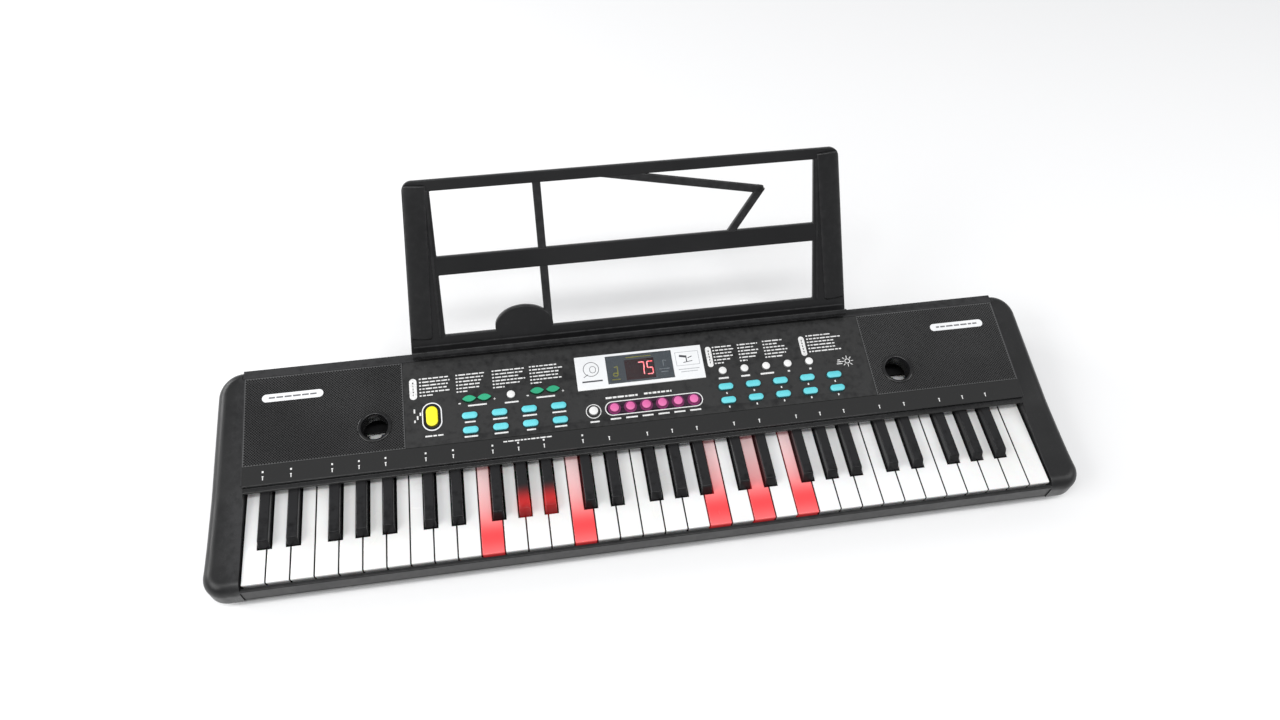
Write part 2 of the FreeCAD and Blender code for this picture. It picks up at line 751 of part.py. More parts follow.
def upper_shell():
    """Upper case as one shell: cheeks, front rail, rear wall and the panel's deck."""
    wall, split = size("shell_wall"), size("split_high")
    skin, deck = size("skin_thick"), size("deck_thick")
    cheeks = rounded_block()
    inner_front = -size("rail_gap")
    inner_rear = REAR_Y - wall
    middle = block(-KEYS_HALF, KEYS_HALF, inner_front, inner_rear, split - 1, TALL + 1)
    over_rail = block(-KEYS_HALF, KEYS_HALF, -size("front_edge") - 1, inner_front + 1,
                      size("key_top") - size("rail_drop"), TALL + 1)
    space = outline(wall, split - 1, TALL).common(rounded_prism(wall, FRONT_HALF + 1))
    strut = block(-KEYS_HALF - wall, KEYS_HALF + wall, -20, REAR_Y + 5, 0, TALL + 1)
    shell = cheeks.cut(middle).cut(over_rail).cut(space.cut(strut))
    end = size("panel_deep") + size("seam")
    rear_z = PANEL_REAR[1]
    rim = 3.0
    points = [on_panel(2.4, -skin), on_panel(end, -skin), (on_panel(end, 0)[0], rear_z),
              (inner_rear + 0.5, rear_z - 0.8), (inner_rear + 0.5, rear_z - deck - rim),
              on_panel(end, -skin - deck), on_panel(2.4, -skin - deck)]
    shell = shell.fuse(side_prism(points, KEYS_HALF + 0.5))
    under_rim = -(size("stand_thick") + rim)
    for side in (-1, 1):
        sleeve = tongue_prism(side, size("tongue_gap") + size("socket_wall"),
                              -size("tongue_long") - 2, under_rim)
        shell = shell.fuse(sleeve)
    shank, boss_radius = size("screw_shank"), size("screw_shank") + size("boss_wall")
    under_deck = side_prism([(0, 0), (REAR_Y - 1, 0), (REAR_Y - 1, rear_z - 2),
                             (size("panel_front"), size("key_top"))], KEYS_HALF)
    for x, y in screw_places():
        boss = Part.makeCylinder(boss_radius, TALL - split, FreeCAD.Vector(x, y, split))
        shell = shell.fuse(boss.common(cheeks if abs(x) > KEYS_HALF else under_deck))
    for x, y in screw_places():
        shell = shell.cut(Part.makeCylinder(shank, size("screw_bite") + 1,
                                            FreeCAD.Vector(x, y, split - 1)))
    for side in (-1, 1):
        shell = shell.cut(tongue_prism(side, size("tongue_gap"), -size("tongue_long") - 0.5, 30))
    shell = shell.cut(deck_holes()).cut(jack_holes())
    return shell.removeSplitter()


def bottom_outline(inset, low, high):
    """Lower case's outside, drawn in towards its underside, between two heights."""
    wires = []
    for drawn, height in ((inset + size("base_inset"), low), (inset, high)):
        slab = outline(drawn, height, height + 1)
        under = min(slab.Faces, key=lambda face: face.CenterOfMass.z)
        wires.append(under.OuterWire)
    return Part.makeLoft(wires, True, True)


CHASSIS_POST_X = (-270.0, -90.0, 90.0, 270.0)
CHASSIS_POST_Y = 24.0
HEAD_ROOM = 0.4


def bottom_case():
    """Lower case: a shallow tray with screw posts, chassis posts and the battery bay."""
    foot, floor = size("foot_high"), size("floor_thick")
    split, wall = size("split_high"), size("shell_wall")
    tray = bottom_outline(0, foot, split)
    shell = tray.cut(bottom_outline(wall, foot + floor, split + 0.001))
    shell = shell.fuse(bay_walls())
    shank, head = size("screw_shank"), size("screw_head")
    for x, y in screw_places():
        shell = shell.fuse(Part.makeCylinder(head + size("boss_wall"), split - foot,
                                             FreeCAD.Vector(x, y, foot)))
    post = size("chassis_top") - size("chassis_thick") - foot
    for x in CHASSIS_POST_X:
        for y in (CHASSIS_POST_Y, worth(BAR_FRONT) + size("bar_deep") / 2):
            shell = shell.fuse(Part.makeCylinder(4, post, FreeCAD.Vector(x, y, foot)))
    for x, y in screw_places():
        at = FreeCAD.Vector(x, y, foot - 1)
        sunk = 1 + size("head_sunk") + size("head_high") + HEAD_ROOM / 4
        shell = shell.cut(Part.makeCylinder(shank + HEAD_ROOM / 2, split, at))
        shell = shell.cut(Part.makeCylinder(head + HEAD_ROOM, sunk, at))
    shell = shell.cut(bay_space())
    return shell.removeSplitter()


def bay_space():
    """Room for four small cells, with the door's rebate and the way out below."""
    half = size("cell_long") / 2
    middle, front = size("cell_middle"), worth(CELL_FRONT)
    low, high = size("foot_high"), size("foot_high") + size("floor_thick") + size("cell_high")
    lip = size("door_lip")
    room = block(middle - half, middle + half, front, front + size("cell_deep"), low - 1, high)
    rebate = block(middle - half - lip, middle + half + lip, front - lip,
                   front + size("cell_deep") + lip, low - 1, low + size("door_thick") + 0.2)
    return room.fuse(rebate)


def bay_walls():
    wall = size("bay_wall")
    half = size("cell_long") / 2 + wall
    middle, front = size("cell_middle"), worth(CELL_FRONT) - wall
    low = size("foot_high")
    high = low + size("floor_thick") + size("cell_high") + wall
    return block(middle - half, middle + half, front, front + size("cell_deep") + 2 * wall,
                 low, high)


JACKS = {"headphone_socket": -150.0, "microphone_socket": -126.0}
INLET_X = -180.0
NOSE_ROOM = 0.3


def jack_middle():
    return worth(MAIN_BOARD_TOP) + size("jack_body") / 2


def jack_holes():
    """Openings in the rear wall behind the sockets and the power inlet."""
    wall = size("shell_wall")
    front = REAR_Y - wall - 1
    turned = FreeCAD.Vector(0, 1, 0)
    radius = size("jack_nose") + NOSE_ROOM
    shapes = [Part.makeCylinder(radius, wall + 2, FreeCAD.Vector(x, front, jack_middle()), turned)
              for x in JACKS.values()]
    margin = size("inlet_wall") + 0.5
    half_wide, half_high = size("inlet_wide") / 2 + margin, size("inlet_high") / 2 + margin
    shapes.append(block(INLET_X - half_wide, INLET_X + half_wide, front, front + wall + 2,
                        inlet_middle() - half_high, inlet_middle() + half_high))
    return Part.makeCompound(shapes)


def inlet_middle():
    return worth(MAIN_BOARD_TOP) + size("inlet_high") / 2 + size("inlet_wall")


def feature(label, shape, placement=CASE):
    piece = doc.addObject("Part::Feature", label)
    piece.Shape = shape
    return keep(piece, label, placement)


def make_upper_case():
    """The four mouldings of the upper case, which meet at the ends of the row of keys."""
    shell = upper_shell()
    half, front, rear = KEYS_HALF, -size("front_edge") - 1, REAR_Y + 1
    low = size("split_high") - 1
    end = FRONT_HALF + 1
    feature("left_cheek", shell.common(block(-end, -half, front, rear, low, TALL)))
    feature("right_cheek", shell.common(block(half, end, front, rear, low, TALL)))
    behind_rail = size("key_gap")
    feature("front_rail", shell.common(block(-half, half, front, behind_rail, low, TALL)))
    feature("top_case", shell.common(block(-half, half, behind_rail, rear, low, TALL)))


def make_case():
    make_upper_case()
    feature("bottom_case", bottom_case())
    screws = []
    head_at = size("foot_high") + size("head_sunk")
    long = size("split_high") + size("screw_bite") - head_at
    for x, y in screw_places():
        at = FreeCAD.Vector(x, y, head_at)
        head = Part.makeCylinder(size("screw_head"), size("head_high"), at)
        shank = Part.makeCylinder(size("screw_shank"), long - 1, at)
        screws.append(head.fuse(shank).removeSplitter())
    feature("case_screws", Part.makeCompound(screws))
    feet = []
    front_side = f"({KEYS_SIDE} - Sizes.foot_inset)"
    rear_side = f"({front_side} - 5)"
    rear = f"{REAR_EDGE} - 17"
    for x, y in ((f"-{front_side}", "22"), ("0", "12"), (front_side, "22"),
                 (f"-{rear_side}", rear), ("0", rear), (rear_side, rear)):
        feet.append(cylinder("foot", (x, y, "0"), "Sizes.foot_wide / 2", "Sizes.foot_high"))
    keep(group("rubber_feet", feet), "rubber_feet", CASE)
    lip, gap = "Sizes.door_lip", "Sizes.door_gap"
    case_box("battery_door",
             (f"Sizes.cell_middle - Sizes.cell_long / 2 - {lip} + {gap}",
              f"{CELL_FRONT} - {lip} + {gap}", "Sizes.foot_high"),
             (f"Sizes.cell_long + 2 * {lip} - 2 * {gap}",
              f"Sizes.cell_deep + 2 * {lip} - 2 * {gap}", "Sizes.door_thick"))
    contacts = []
    for end, shift in (("-", "0"), ("+", "-0.6")):
        for row in (0.25, 0.75):
            contacts.append(box("contact", (
                f"Sizes.cell_middle {end} Sizes.cell_long / 2 + {shift}",
                f"{CELL_FRONT} + Sizes.cell_deep * {row} - 4.5", "Sizes.foot_high + 6"),
                ("0.6", "9", "9")))
    keep(group("battery_contacts", contacts), "battery_contacts", CASE)


# ---- panel ----------------------------------------------------------------------------------

def row_shapes(grow, label=None):
    """Sketch calls that draw the caps of one row, or of every row, grown by a clearance."""
    calls = []
    names = [label] if label else list(ROWS)
    for name in names:
        first, pitch, count, up, kind = ROWS[name]
        half_across = f"{CAPS[kind][0]} + {grow}"
        half_up = f"{CAPS[kind][1]} + {grow}"
        for number in range(count):
            across = f"({first + number * pitch:.3f})"
            if kind in ("disc", "dot"):
                calls.append((add_circle, across, str(up), half_across))
            elif kind == "leaf":
                calls.append((add_leaf, across, str(up), half_across, half_up))
            else:
                calls.append((add_slot, across, str(up), half_across, half_up))
    return calls


def make_panel():
    skin = "Sizes.skin_thick"
    low = f"-{skin}"
    half = "Sizes.centre_half"
    half_wide = "(Sizes.digits_wide / 2 + Sizes.digits_gap)"
    half_deep = "(Sizes.digits_deep / 2 + Sizes.digits_gap)"
    digit_hole = (add_rectangle, f"-{half_wide}", half_wide, f"{DIGITS_UP} - {half_deep}",
                  f"{DIGITS_UP} + {half_deep}")
    panel_front = "(Sizes.strip_deep + Sizes.seam)"
    plate("control_panel", PANEL, low, skin,
          [(add_rectangle, f"-{half}", half, panel_front, "Sizes.panel_deep"), digit_hole]
          + row_shapes("Sizes.cap_gap"))
    outer = f"({KEYS_SIDE} - Sizes.seam)"
    badges, ports = [], []
    for name, sign in (("left", "-"), ("right", "")):
        near = f"({sign}({half} + Sizes.seam))"
        far = f"({sign}{outer})"
        sides = (far, near) if sign else (near, far)
        port = f"({sign}{PORT_SIDE})"
        plate(f"{name}_speaker_grille", PANEL, low, skin,
              [(add_rectangle, *sides, panel_front, "Sizes.panel_deep"),
               (add_circle, port, "Sizes.port_back", PORT_OUTER)])
        badges.append(flat_body(
            f"{name}_badge", "0", "Sizes.badge_thick",
            [(add_slot, f"({sign}{BADGE_SIDE})", BADGE_UP, "Sizes.badge_wide / 2",
              "Sizes.badge_deep / 2")]))
        ports.append(bass_port(f"{name}_port", port))
        make_speaker(name, f"({sign}{SPEAKER_SIDE})")
    keep(group("badge_pair", badges), "grille_badges", PANEL)
    keep(group("port_pair", ports), "bass_ports", PANEL)
    make_strip(outer)
    make_display()
    ring = [(add_slot, f"({ROWS['power_button'][0]})", str(ROWS["power_button"][3]),
             str(POWER_RING[0]), str(POWER_RING[1])),
            (add_slot, f"({ROWS['power_button'][0]})", str(ROWS["power_button"][3]),
             f"{CAPS['upright'][0]} + 2 * Sizes.cap_gap",
             f"{CAPS['upright'][1]} + 2 * Sizes.cap_gap")]
    plate("power_bezel", PANEL, "0", "Sizes.ring_thick", ring)


def bass_port(name, across):
    """Bass port: a short tube with a flange over the grille."""
    body = doc.addObject("PartDesign::Body", name)
    bore = "Sizes.port_bore"
    flange = sketch_on(body, "XY_Plane", "0")
    add_circle(flange, across, "Sizes.port_back", f"{bore} + Sizes.port_lip")
    add_circle(flange, across, "Sizes.port_back", bore)
    pad(body, flange, "Sizes.ring_thick")
    tube = sketch_on(body, "XY_Plane", "-Sizes.port_deep")
    add_circle(tube, across, "Sizes.port_back", f"{bore} + Sizes.port_wall - 0.05")
    add_circle(tube, across, "Sizes.port_back", bore)
    pad(body, tube, "Sizes.port_deep + Sizes.ring_thick / 2")
    return body


def make_speaker(name, across):
    """Round speaker hung under the deck: rim, cone housing and magnet."""
    under = "-(Sizes.skin_thick + Sizes.deck_thick)"
    rim = cylinder("rim", (across, "Sizes.speaker_back", f"{under} - 2"),
                   "Sizes.speaker_wide / 2", "2")
    cone = doc.addObject("Part::Cone", "basket")
    cone.setExpression("Radius1", "Sizes.speaker_wide / 4")
    cone.setExpression("Radius2", "Sizes.speaker_wide / 2 - 3")
    cone.setExpression("Height", "Sizes.speaker_deep - 6")
    for prop, text in zip("xyz", (across, "Sizes.speaker_back",
                                  f"{under} - Sizes.speaker_deep + 4")):
        cone.setExpression(f"Placement.Base.{prop}", text)
    magnet = cylinder("magnet", (across, "Sizes.speaker_back", f"{under} - Sizes.speaker_deep"),
                      "Sizes.speaker_wide / 5", "5")
    whole = fuse(f"{name}_speaker", [rim, cone, magnet])
    keep(whole, f"{name}_speaker", PANEL)


def make_strip(outer):
    """Note strip across the panel's front, with the glossy lip over the keys' rear ends."""
    body = doc.addObject("PartDesign::Body", "note_strip")
    sketch = sketch_on(body, "YZ_Plane")
    skin = "-Sizes.skin_thick"
    lip = "-Sizes.lip_reach"
    low = "-Sizes.lip_drop"
    add_polygon(sketch, [("Sizes.strip_deep", "0"), ("1.2", "0"), ("0", "-1.2"),
                         ("0", "-Sizes.lip_top"), (lip, "-Sizes.lip_top - 0.4"), (lip, low),
                         ("2", low), ("2", skin), ("Sizes.strip_deep", skin)])
    feature_pad = pad(body, sketch, f"2 * {outer}")
    feature_pad.Midplane = True
    keep(body, "note_strip", PANEL)


def make_display():
    """White bezel, tinted window and the two-digit module behind it."""
    side = "Sizes.window_wide / 2"
    low, high = "Sizes.window_front", "Sizes.window_front + Sizes.window_deep"
    gap = "Sizes.window_gap"
    plate("display_bezel", PANEL, "0", "Sizes.bezel_thick",
          [(add_rectangle, f"-{BEZEL_HALF}", BEZEL_HALF, BEZEL_FRONT, BEZEL_REAR),
           (add_rectangle, f"-{side}", side, low, high)])
    plate("display_window", PANEL, "0", "Sizes.window_thick",
          [(add_rectangle, f"-{side} + {gap}", f"{side} - {gap}", f"{low} + {gap}",
            f"{high} - {gap}")])
    plate("digit_display", PANEL, BOARD_TOP, f"-Sizes.digits_gap - ({BOARD_TOP})",
          [(add_rectangle, "-Sizes.digits_wide / 2", "Sizes.digits_wide / 2",
            f"{DIGITS_UP} - Sizes.digits_deep / 2", f"{DIGITS_UP} + Sizes.digits_deep / 2")])


def make_buttons():
    """Button rows: caps through the panel, joined by a thin web under the deck."""
    for name, (first, pitch, count, up, kind) in ROWS.items():
        body = doc.addObject("PartDesign::Body", name)
        caps = sketch_on(body, "XY_Plane", WEB_LOW)
        for draw, *arguments in row_shapes("0", name):
            draw(caps, *arguments)
        web = sketch_on(body, "XY_Plane", WEB_LOW)
        last = first + (count - 1) * pitch
        add_rectangle(web, f"({first - CAPS[kind][0]:.3f}) - Sizes.web_wide / 2",
                      f"({last + CAPS[kind][0]:.3f}) + Sizes.web_wide / 2",
                      f"{up} - {CAPS[kind][1]} - 0.8", f"{up} + {CAPS[kind][1]} + 0.8")
        pad(body, web, "Sizes.web_thick")
        pad(body, caps, f"Sizes.cap_rise - {WEB_LOW}")
        keep(body, name, PANEL)


# ---- inside ---------------------------------------------------------------------------------

def make_inside():
    board = "Sizes.board_thick"
    board_half = "(Sizes.centre_half - 10.8)"
    plate("panel_circuit_board", PANEL, f"{BOARD_TOP} - {board}", board,
          [(add_rectangle, f"-{board_half}", board_half, "Sizes.strip_deep + 4",
            f"{DIGITS_UP} + Sizes.digits_deep / 2 + 4")])
    wide = f"{WHITES} * Sizes.key_pitch"
    left = f"-{KEYS_SIDE}"
    rest = "Sizes.key_top - Sizes.key_depth - Sizes.rest_gap"
    base = box("chassis_plate", (left, "Sizes.chassis_front",
                                 "Sizes.chassis_top - Sizes.chassis_thick"),
               (wide, f"{BAR_FRONT} + Sizes.bar_deep - Sizes.chassis_front",
                "Sizes.chassis_thick"))
    root = "Sizes.chassis_thick / 4"
    ledge = box("chassis_ledge", (left, BAR_FRONT, f"Sizes.chassis_top - {root}"),
                (wide, "Sizes.bar_deep", f"{rest} - Sizes.chassis_top + {root}"))
    keep(fuse("key_chassis", [base, ledge]), "key_chassis", CASE)
    contact_top = f"Sizes.chassis_top + {board}"
    case_box("key_contact_board", (f"{left} + 2", "40", "Sizes.chassis_top"),
             (f"{wide} - 4", "60", board))
    strip = box("contact_base", (f"{left} + 4", "62", contact_top), (f"{wide} - 8", "16", "0.8"))
    domes = [cylinder("dome", (f"{white_left(number)} + Sizes.key_pitch / 2 - Sizes.key_gap / 2",
                               "70", contact_top), "3", "2.6") for number in range(WHITES)]
    keep(fuse("rubber_contact_strip", [strip] + domes), "rubber_contact_strip", CASE)
    light = box("light_base", (f"{left} + 4", "86", contact_top), (f"{wide} - 8", "6", "0.8"))
    lamps = [box("lamp", (f"{white_left(number)} + Sizes.key_pitch / 2 - 1.4", "87.6",
                          contact_top), ("2.8", "2.8", "2.2")) for number in range(WHITES)]
    keep(fuse("key_light_strip", [light] + lamps), "key_light_strip", CASE)
    case_box("key_felt", (f"{left} + 1", "Sizes.chassis_front + 1", "Sizes.chassis_top"),
             (f"{wide} - 2", "8", "Sizes.felt_thick"))
    case_box("main_circuit_board", ("-200", MAIN_BOARD_FRONT, "Sizes.main_board_up"),
             ("240", "Sizes.main_board_deep", board))
    make_ribbon()
    for name, x in JACKS.items():
        make_jack(name, x)
    make_inlet()


def make_ribbon():
    """Flat cable from the main board up to the panel's board."""
    case_box("ribbon_cable", ("-20", f"{MAIN_BOARD_FRONT} + 4", MAIN_BOARD_TOP),
             ("36", "0.8", f"Sizes.key_top + 14 - {MAIN_BOARD_TOP}"))


def make_jack(label, x):
    body = "Sizes.jack_body"
    rear = f"({REAR_EDGE} - Sizes.shell_wall - 0.2)"
    middle = f"{MAIN_BOARD_TOP} + {body} / 2"
    block_part = box("jack_block", (f"{x} - {body} / 2", f"{rear} - Sizes.jack_deep",
                                    MAIN_BOARD_TOP), (body, "Sizes.jack_deep", body))
    nose = cylinder("jack_nose", (str(x), f"{rear} - 1", middle), "Sizes.jack_nose",
                    "Sizes.shell_wall + 1.2", "y")
    bore = cylinder("jack_bore", (str(x), f"{rear} - Sizes.jack_deep + 2", middle),
                    "Sizes.jack_bore", "40", "y")
    keep(cut(label, fuse(label + "_body", [block_part, nose]), bore), label, CASE)


def make_inlet():
    """Power inlet: a flat metal-sided shell with a contact tongue."""
    half, high = size("inlet_wide") / 2, size("inlet_high")
    wall, front = size("inlet_wall"), REAR_Y - size("inlet_deep")
    z = inlet_middle()
    outer = block(INLET_X - half - wall, INLET_X + half + wall, front, REAR_Y - 0.3,
                  worth(MAIN_BOARD_TOP), z + high / 2 + wall)
    space = block(INLET_X - half, INLET_X + half, front + wall, REAR_Y + 1,
                  z - high / 2, z + high / 2)
    tongue = block(INLET_X - half + 1.4, INLET_X + half - 1.4, front + wall / 2,
                   REAR_Y - 2.5, z - 0.4, z + 0.4)
    feature("power_inlet", outer.cut(space).fuse(tongue).removeSplitter())


# ---- music stand ----------------------------------------------------------------------------

def bar_between(sketch, start, end, half):
    """A straight motif bar as a four-cornered outline."""
    dx, dy = end[0] - start[0], end[1] - start[1]
    long = math.hypot(dx, dy)
    nx, ny = -dy / long * half, dx / long * half
    corners = [(start[0] + nx, start[1] + ny), (start[0] - nx, start[1] - ny),
               (end[0] - nx, end[1] - ny), (end[0] + nx, end[1] + ny)]
    add_polygon(sketch, [(f"({x:.3f})", f"({y:.3f})") for x, y in corners])


MOTIF_HEAD = (-103.0, 18.4, 27.0, 19.3)
MOTIF_STEM = 80.0
MOTIF_BEND = (124.0, 127.9)
LEDGE_LOW = "(-Sizes.ledge_drop)"
LEDGE_TOP = "(Sizes.ledge_thick - Sizes.ledge_drop)"


def make_stand():
    """Frame with two posts, three rails, a note-shaped motif, a ledge and two tongues."""
    body = doc.addObject("PartDesign::Body", "music_stand")
    high = "Sizes.stand_high"
    foot, top = "Sizes.stand_foot_half", "Sizes.stand_top_half"
    back = "-Sizes.stand_thick"
    sheet_of = sketch_on(body, "XZ_Plane", back)
    add_polygon(sheet_of, [(f"-{foot}", "0"), (foot, "0"), (top, high), (f"-{top}", high)])
    slope = "(Sizes.window_foot_half - Sizes.window_top_half) / Sizes.stand_high"
    for low_edge, high_edge in (("Sizes.low_rail", "Sizes.mid_rail_from"),
                                ("Sizes.mid_rail_to", f"({high} - Sizes.top_rail)")):
        low_half = f"(Sizes.window_foot_half - {slope} * {low_edge})"
        high_half = f"(Sizes.window_foot_half - {slope} * {high_edge})"
        add_polygon(sheet_of, [(f"-{low_half}", low_edge), (low_half, low_edge),
                               (high_half, high_edge), (f"-{high_half}", high_edge)])
    pad(body, sheet_of, "Sizes.stand_thick")
    inset_back, inset_thick = "-Sizes.stand_thick + 0.5", "Sizes.stand_thick - 1"
    half_bar = size("motif_bar") / 2
    rail_top = size("stand_high") - size("top_rail") / 2
    bars = [((-MOTIF_STEM, size("low_rail") - 2), (-MOTIF_STEM, rail_top)),
            ((-30.0, rail_top + 2), MOTIF_BEND),
            ((MOTIF_BEND[0], MOTIF_BEND[1] + 1.5), (92.0, size("mid_rail_to") - 6))]
    for start, end in bars:
        bar = sketch_on(body, "XZ_Plane", inset_back)
        bar_between(bar, start, end, half_bar)
        pad(body, bar, inset_thick)
    head = sketch_on(body, "XZ_Plane", inset_back)
    x, z, wide, tall = MOTIF_HEAD
    add_slot(head, f"({x})", str(z), str(wide), str(tall))
    pad(body, head, inset_thick)
    ledge = sketch_on(body, "XZ_Plane", "-1")
    add_rectangle(ledge, f"-{foot} + 1", f"{foot} - 1", LEDGE_LOW, LEDGE_TOP)
    pad(body, ledge, "Sizes.ledge_deep + 1")
    lip = sketch_on(body, "XZ_Plane", "Sizes.ledge_deep - 2")
    add_rectangle(lip, f"-{foot} + 1", f"{foot} - 1", LEDGE_LOW,
                  f"{LEDGE_TOP} + Sizes.lip_high")
    pad(body, lip, "2")
    for side in ("-", ""):
        tongue = sketch_on(body, "XZ_Plane",
                           "-Sizes.stand_thick / 2 - Sizes.tongue_thick / 2")
        middle = f"({side}Sizes.tongue_side)"
        add_rectangle(tongue, f"{middle} - Sizes.tongue_wide / 2",
                      f"{middle} + Sizes.tongue_wide / 2", "-Sizes.tongue_long", "1")
        pad(body, tongue, "Sizes.tongue_thick")
    keep(body, "music_stand", STAND)


# ---- build, check and write -------------------------------------------------------------------

def check():
    """Stop on any object that failed to recompute or any sub-part without a sound solid."""
    for item in doc.Objects:
        if {"Invalid", "Error"} & set(item.State):
            raise RuntimeError(f"{item.Name} ({item.Label}) failed: {item.State}")
    for piece in pieces:
        shape = piece.Shape
        if shape.isNull() or not shape.isValid() or not shape.Solids:
            raise RuntimeError(f"{piece.Label} has no sound solid")


def write():
    os.makedirs("parts", exist_ok=True)
    for piece in pieces:
        piece.Shape.exportStep(f"parts/{piece.Label}.step")
        box_of = piece.Shape.BoundBox
        print(f"{piece.Label}: {len(piece.Shape.Solids)} solid(s), {piece.Shape.Volume:.0f} mm3, "
              f"X {box_of.XMin:.1f}..{box_of.XMax:.1f} Y {box_of.YMin:.1f}..{box_of.YMax:.1f} "
              f"Z {box_of.ZMin:.1f}..{box_of.ZMax:.1f}")
    print(len(pieces), "pieces")


make_keys()
make_case()
make_panel()
make_buttons()
make_inside()
make_stand()
doc.recompute()
check()
write()
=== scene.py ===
import json
import math
import random

import bmesh
import bpy
from mathutils import Matrix, Vector


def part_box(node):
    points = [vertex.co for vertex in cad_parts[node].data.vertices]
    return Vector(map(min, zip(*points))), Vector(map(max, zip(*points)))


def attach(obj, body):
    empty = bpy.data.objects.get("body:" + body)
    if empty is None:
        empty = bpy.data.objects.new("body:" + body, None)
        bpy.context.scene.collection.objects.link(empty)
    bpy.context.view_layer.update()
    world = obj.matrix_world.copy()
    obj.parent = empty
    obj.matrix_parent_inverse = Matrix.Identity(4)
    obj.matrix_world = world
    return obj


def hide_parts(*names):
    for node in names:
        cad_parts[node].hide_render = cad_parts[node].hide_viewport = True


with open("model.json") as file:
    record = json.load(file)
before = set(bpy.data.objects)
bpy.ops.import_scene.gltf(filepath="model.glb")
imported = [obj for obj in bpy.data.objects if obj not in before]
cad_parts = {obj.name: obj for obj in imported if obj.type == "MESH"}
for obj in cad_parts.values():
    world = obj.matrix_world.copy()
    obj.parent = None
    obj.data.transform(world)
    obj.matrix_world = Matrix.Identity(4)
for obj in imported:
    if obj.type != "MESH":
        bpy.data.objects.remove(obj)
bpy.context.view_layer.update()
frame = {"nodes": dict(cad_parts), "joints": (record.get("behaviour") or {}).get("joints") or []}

MM = 0.001

# ---- the room -----------------------------------------------------------------------------
# A plain pale floor and soft white lamps, with the camera where a buyer would stand: above the
# bass end, looking down at the keys.


def new_finish(name):
    """A new material, with its node tree and its shader."""
    finish = bpy.data.materials.new(name)
    finish.use_nodes = True
    return finish, finish.node_tree, finish.node_tree.nodes["Principled BSDF"]


def feed(entry, value):
    """Link a socket to a node's input, or set a number or a colour on it."""
    if isinstance(value, bpy.types.NodeSocket):
        entry.id_data.links.new(value, entry)
    else:
        entry.default_value = (*value, 1) if entry.type == "RGBA" else value


def fill(node, **values):
    """Feed a node's inputs by their names, and give its outputs."""
    for label, value in values.items():
        feed(node.inputs[label.replace("_", " ")], value)
    return node.outputs


def studio():
    bpy.ops.mesh.primitive_plane_add(size=14.0)
    floor = bpy.context.object
    floor.name = "floor"
    paint, _, shader = new_finish("floor_paint")
    fill(shader, Base_Color=(0.88, 0.88, 0.88), Roughness=0.8, Specular_IOR_Level=0.1)
    floor.data.materials.append(paint)
    world = bpy.data.worlds.new("studio")
    world.use_nodes = True
    fill(world.node_tree.nodes["Background"], Color=(0.97, 0.98, 1.0), Strength=0.5)
    bpy.context.scene.world = world
    bpy.context.scene.view_settings.view_transform = "Standard"


def lamp(name, place, target, width, depth, power):
    light = bpy.data.lights.new(name, "AREA")
    light.shape = "RECTANGLE"
    light.size, light.size_y, light.energy = width, depth, power
    holder = bpy.data.objects.new(name, light)
    bpy.context.scene.collection.objects.link(holder)
    holder.location = place
    holder.rotation_euler = (Vector(target) - Vector(place)).to_track_quat("-Z", "Y").to_euler()


def camera(place, azimuth, elevation, roll, lens):
    eye = bpy.data.cameras.new("camera")
    eye.lens, eye.sensor_width = lens, 36.0
    eye.clip_start, eye.clip_end = 0.02, 50.0
    holder = bpy.data.objects.new("camera", eye)
    bpy.context.scene.collection.objects.link(holder)
    across, down = math.radians(azimuth), math.radians(elevation)
    look = Vector((math.sin(across) * math.cos(down), math.cos(across) * math.cos(down),
                   -math.sin(down)))
    turn = look.to_track_quat("-Z", "Y").to_matrix().to_4x4()
    holder.matrix_world = (Matrix.Translation(place) @ turn
                           @ Matrix.Rotation(math.radians(roll), 4, "Z"))
    bpy.context.scene.camera = holder


studio()
key_low, key_high = (Vector(corner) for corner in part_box("white_keys_ceg_1"))
KEY_FRONT, KEY_TOP = key_low.y, key_high.z
lamp("softbox_left", (-1.6, -0.5, 1.3), (0, 0, 0), 1.2, 0.9, 17)
lamp("softbox_over", (0.0, -0.5, 1.9), (0, 0, 0), 1.9, 0.35, 16)
lamp("softbox_right", (1.6, -0.3, 1.2), (0.1, 0, 0), 0.7, 1.0, 8)
lamp("softbox_edge", (-1.6, 0.8, 0.6), (-0.3, 0, 0), 1.0, 0.6, 14)
camera(place=(-0.1085, KEY_FRONT - 0.3327, KEY_TOP + 0.7824), azimuth=12.49, elevation=56.06,
       roll=4.33, lens=27.07)

# ---- lower case ---------------------------------------------------------------------------
# A shallow tray moulded in dark grey ABS, its sides drawn in towards the table. The mould
# leaves a fine spark texture; corners and edges are rubbed a little lighter and smoother.


def masks_group(name, outputs, **inputs):
    """A node group of number sockets, its inputs given with their usual values."""
    group = bpy.data.node_groups.new(name, "ShaderNodeTree")
    for label, value in inputs.items():
        entry = group.interface.new_socket(label.replace("_", " "), in_out="INPUT",
                                           socket_type="NodeSocketFloat")
        entry.default_value = value
    for label in outputs:
        group.interface.new_socket(label, in_out="OUTPUT", socket_type="NodeSocketFloat")
    given = group.nodes.new("NodeGroupInput").outputs
    return group, given, group.nodes.new("NodeGroupOutput")


def object_place(tree):
    return tree.nodes.new("ShaderNodeTexCoord").outputs["Object"]


def apart(tree, vector):
    """The X, Y and Z of a vector."""
    return fill(tree.nodes.new("ShaderNodeSeparateXYZ"), Vector=vector)


def facing(tree):
    """The X, Y and Z of the direction that a face looks in."""
    return apart(tree, tree.nodes.new("ShaderNodeNewGeometry").outputs["Normal"])


def dents(tree, height, strength, distance):
    """A bump from a height, for a shader's Normal."""
    return fill(tree.nodes.new("ShaderNodeBump"), Height=height, Strength=strength,
                Distance=distance)["Normal"]


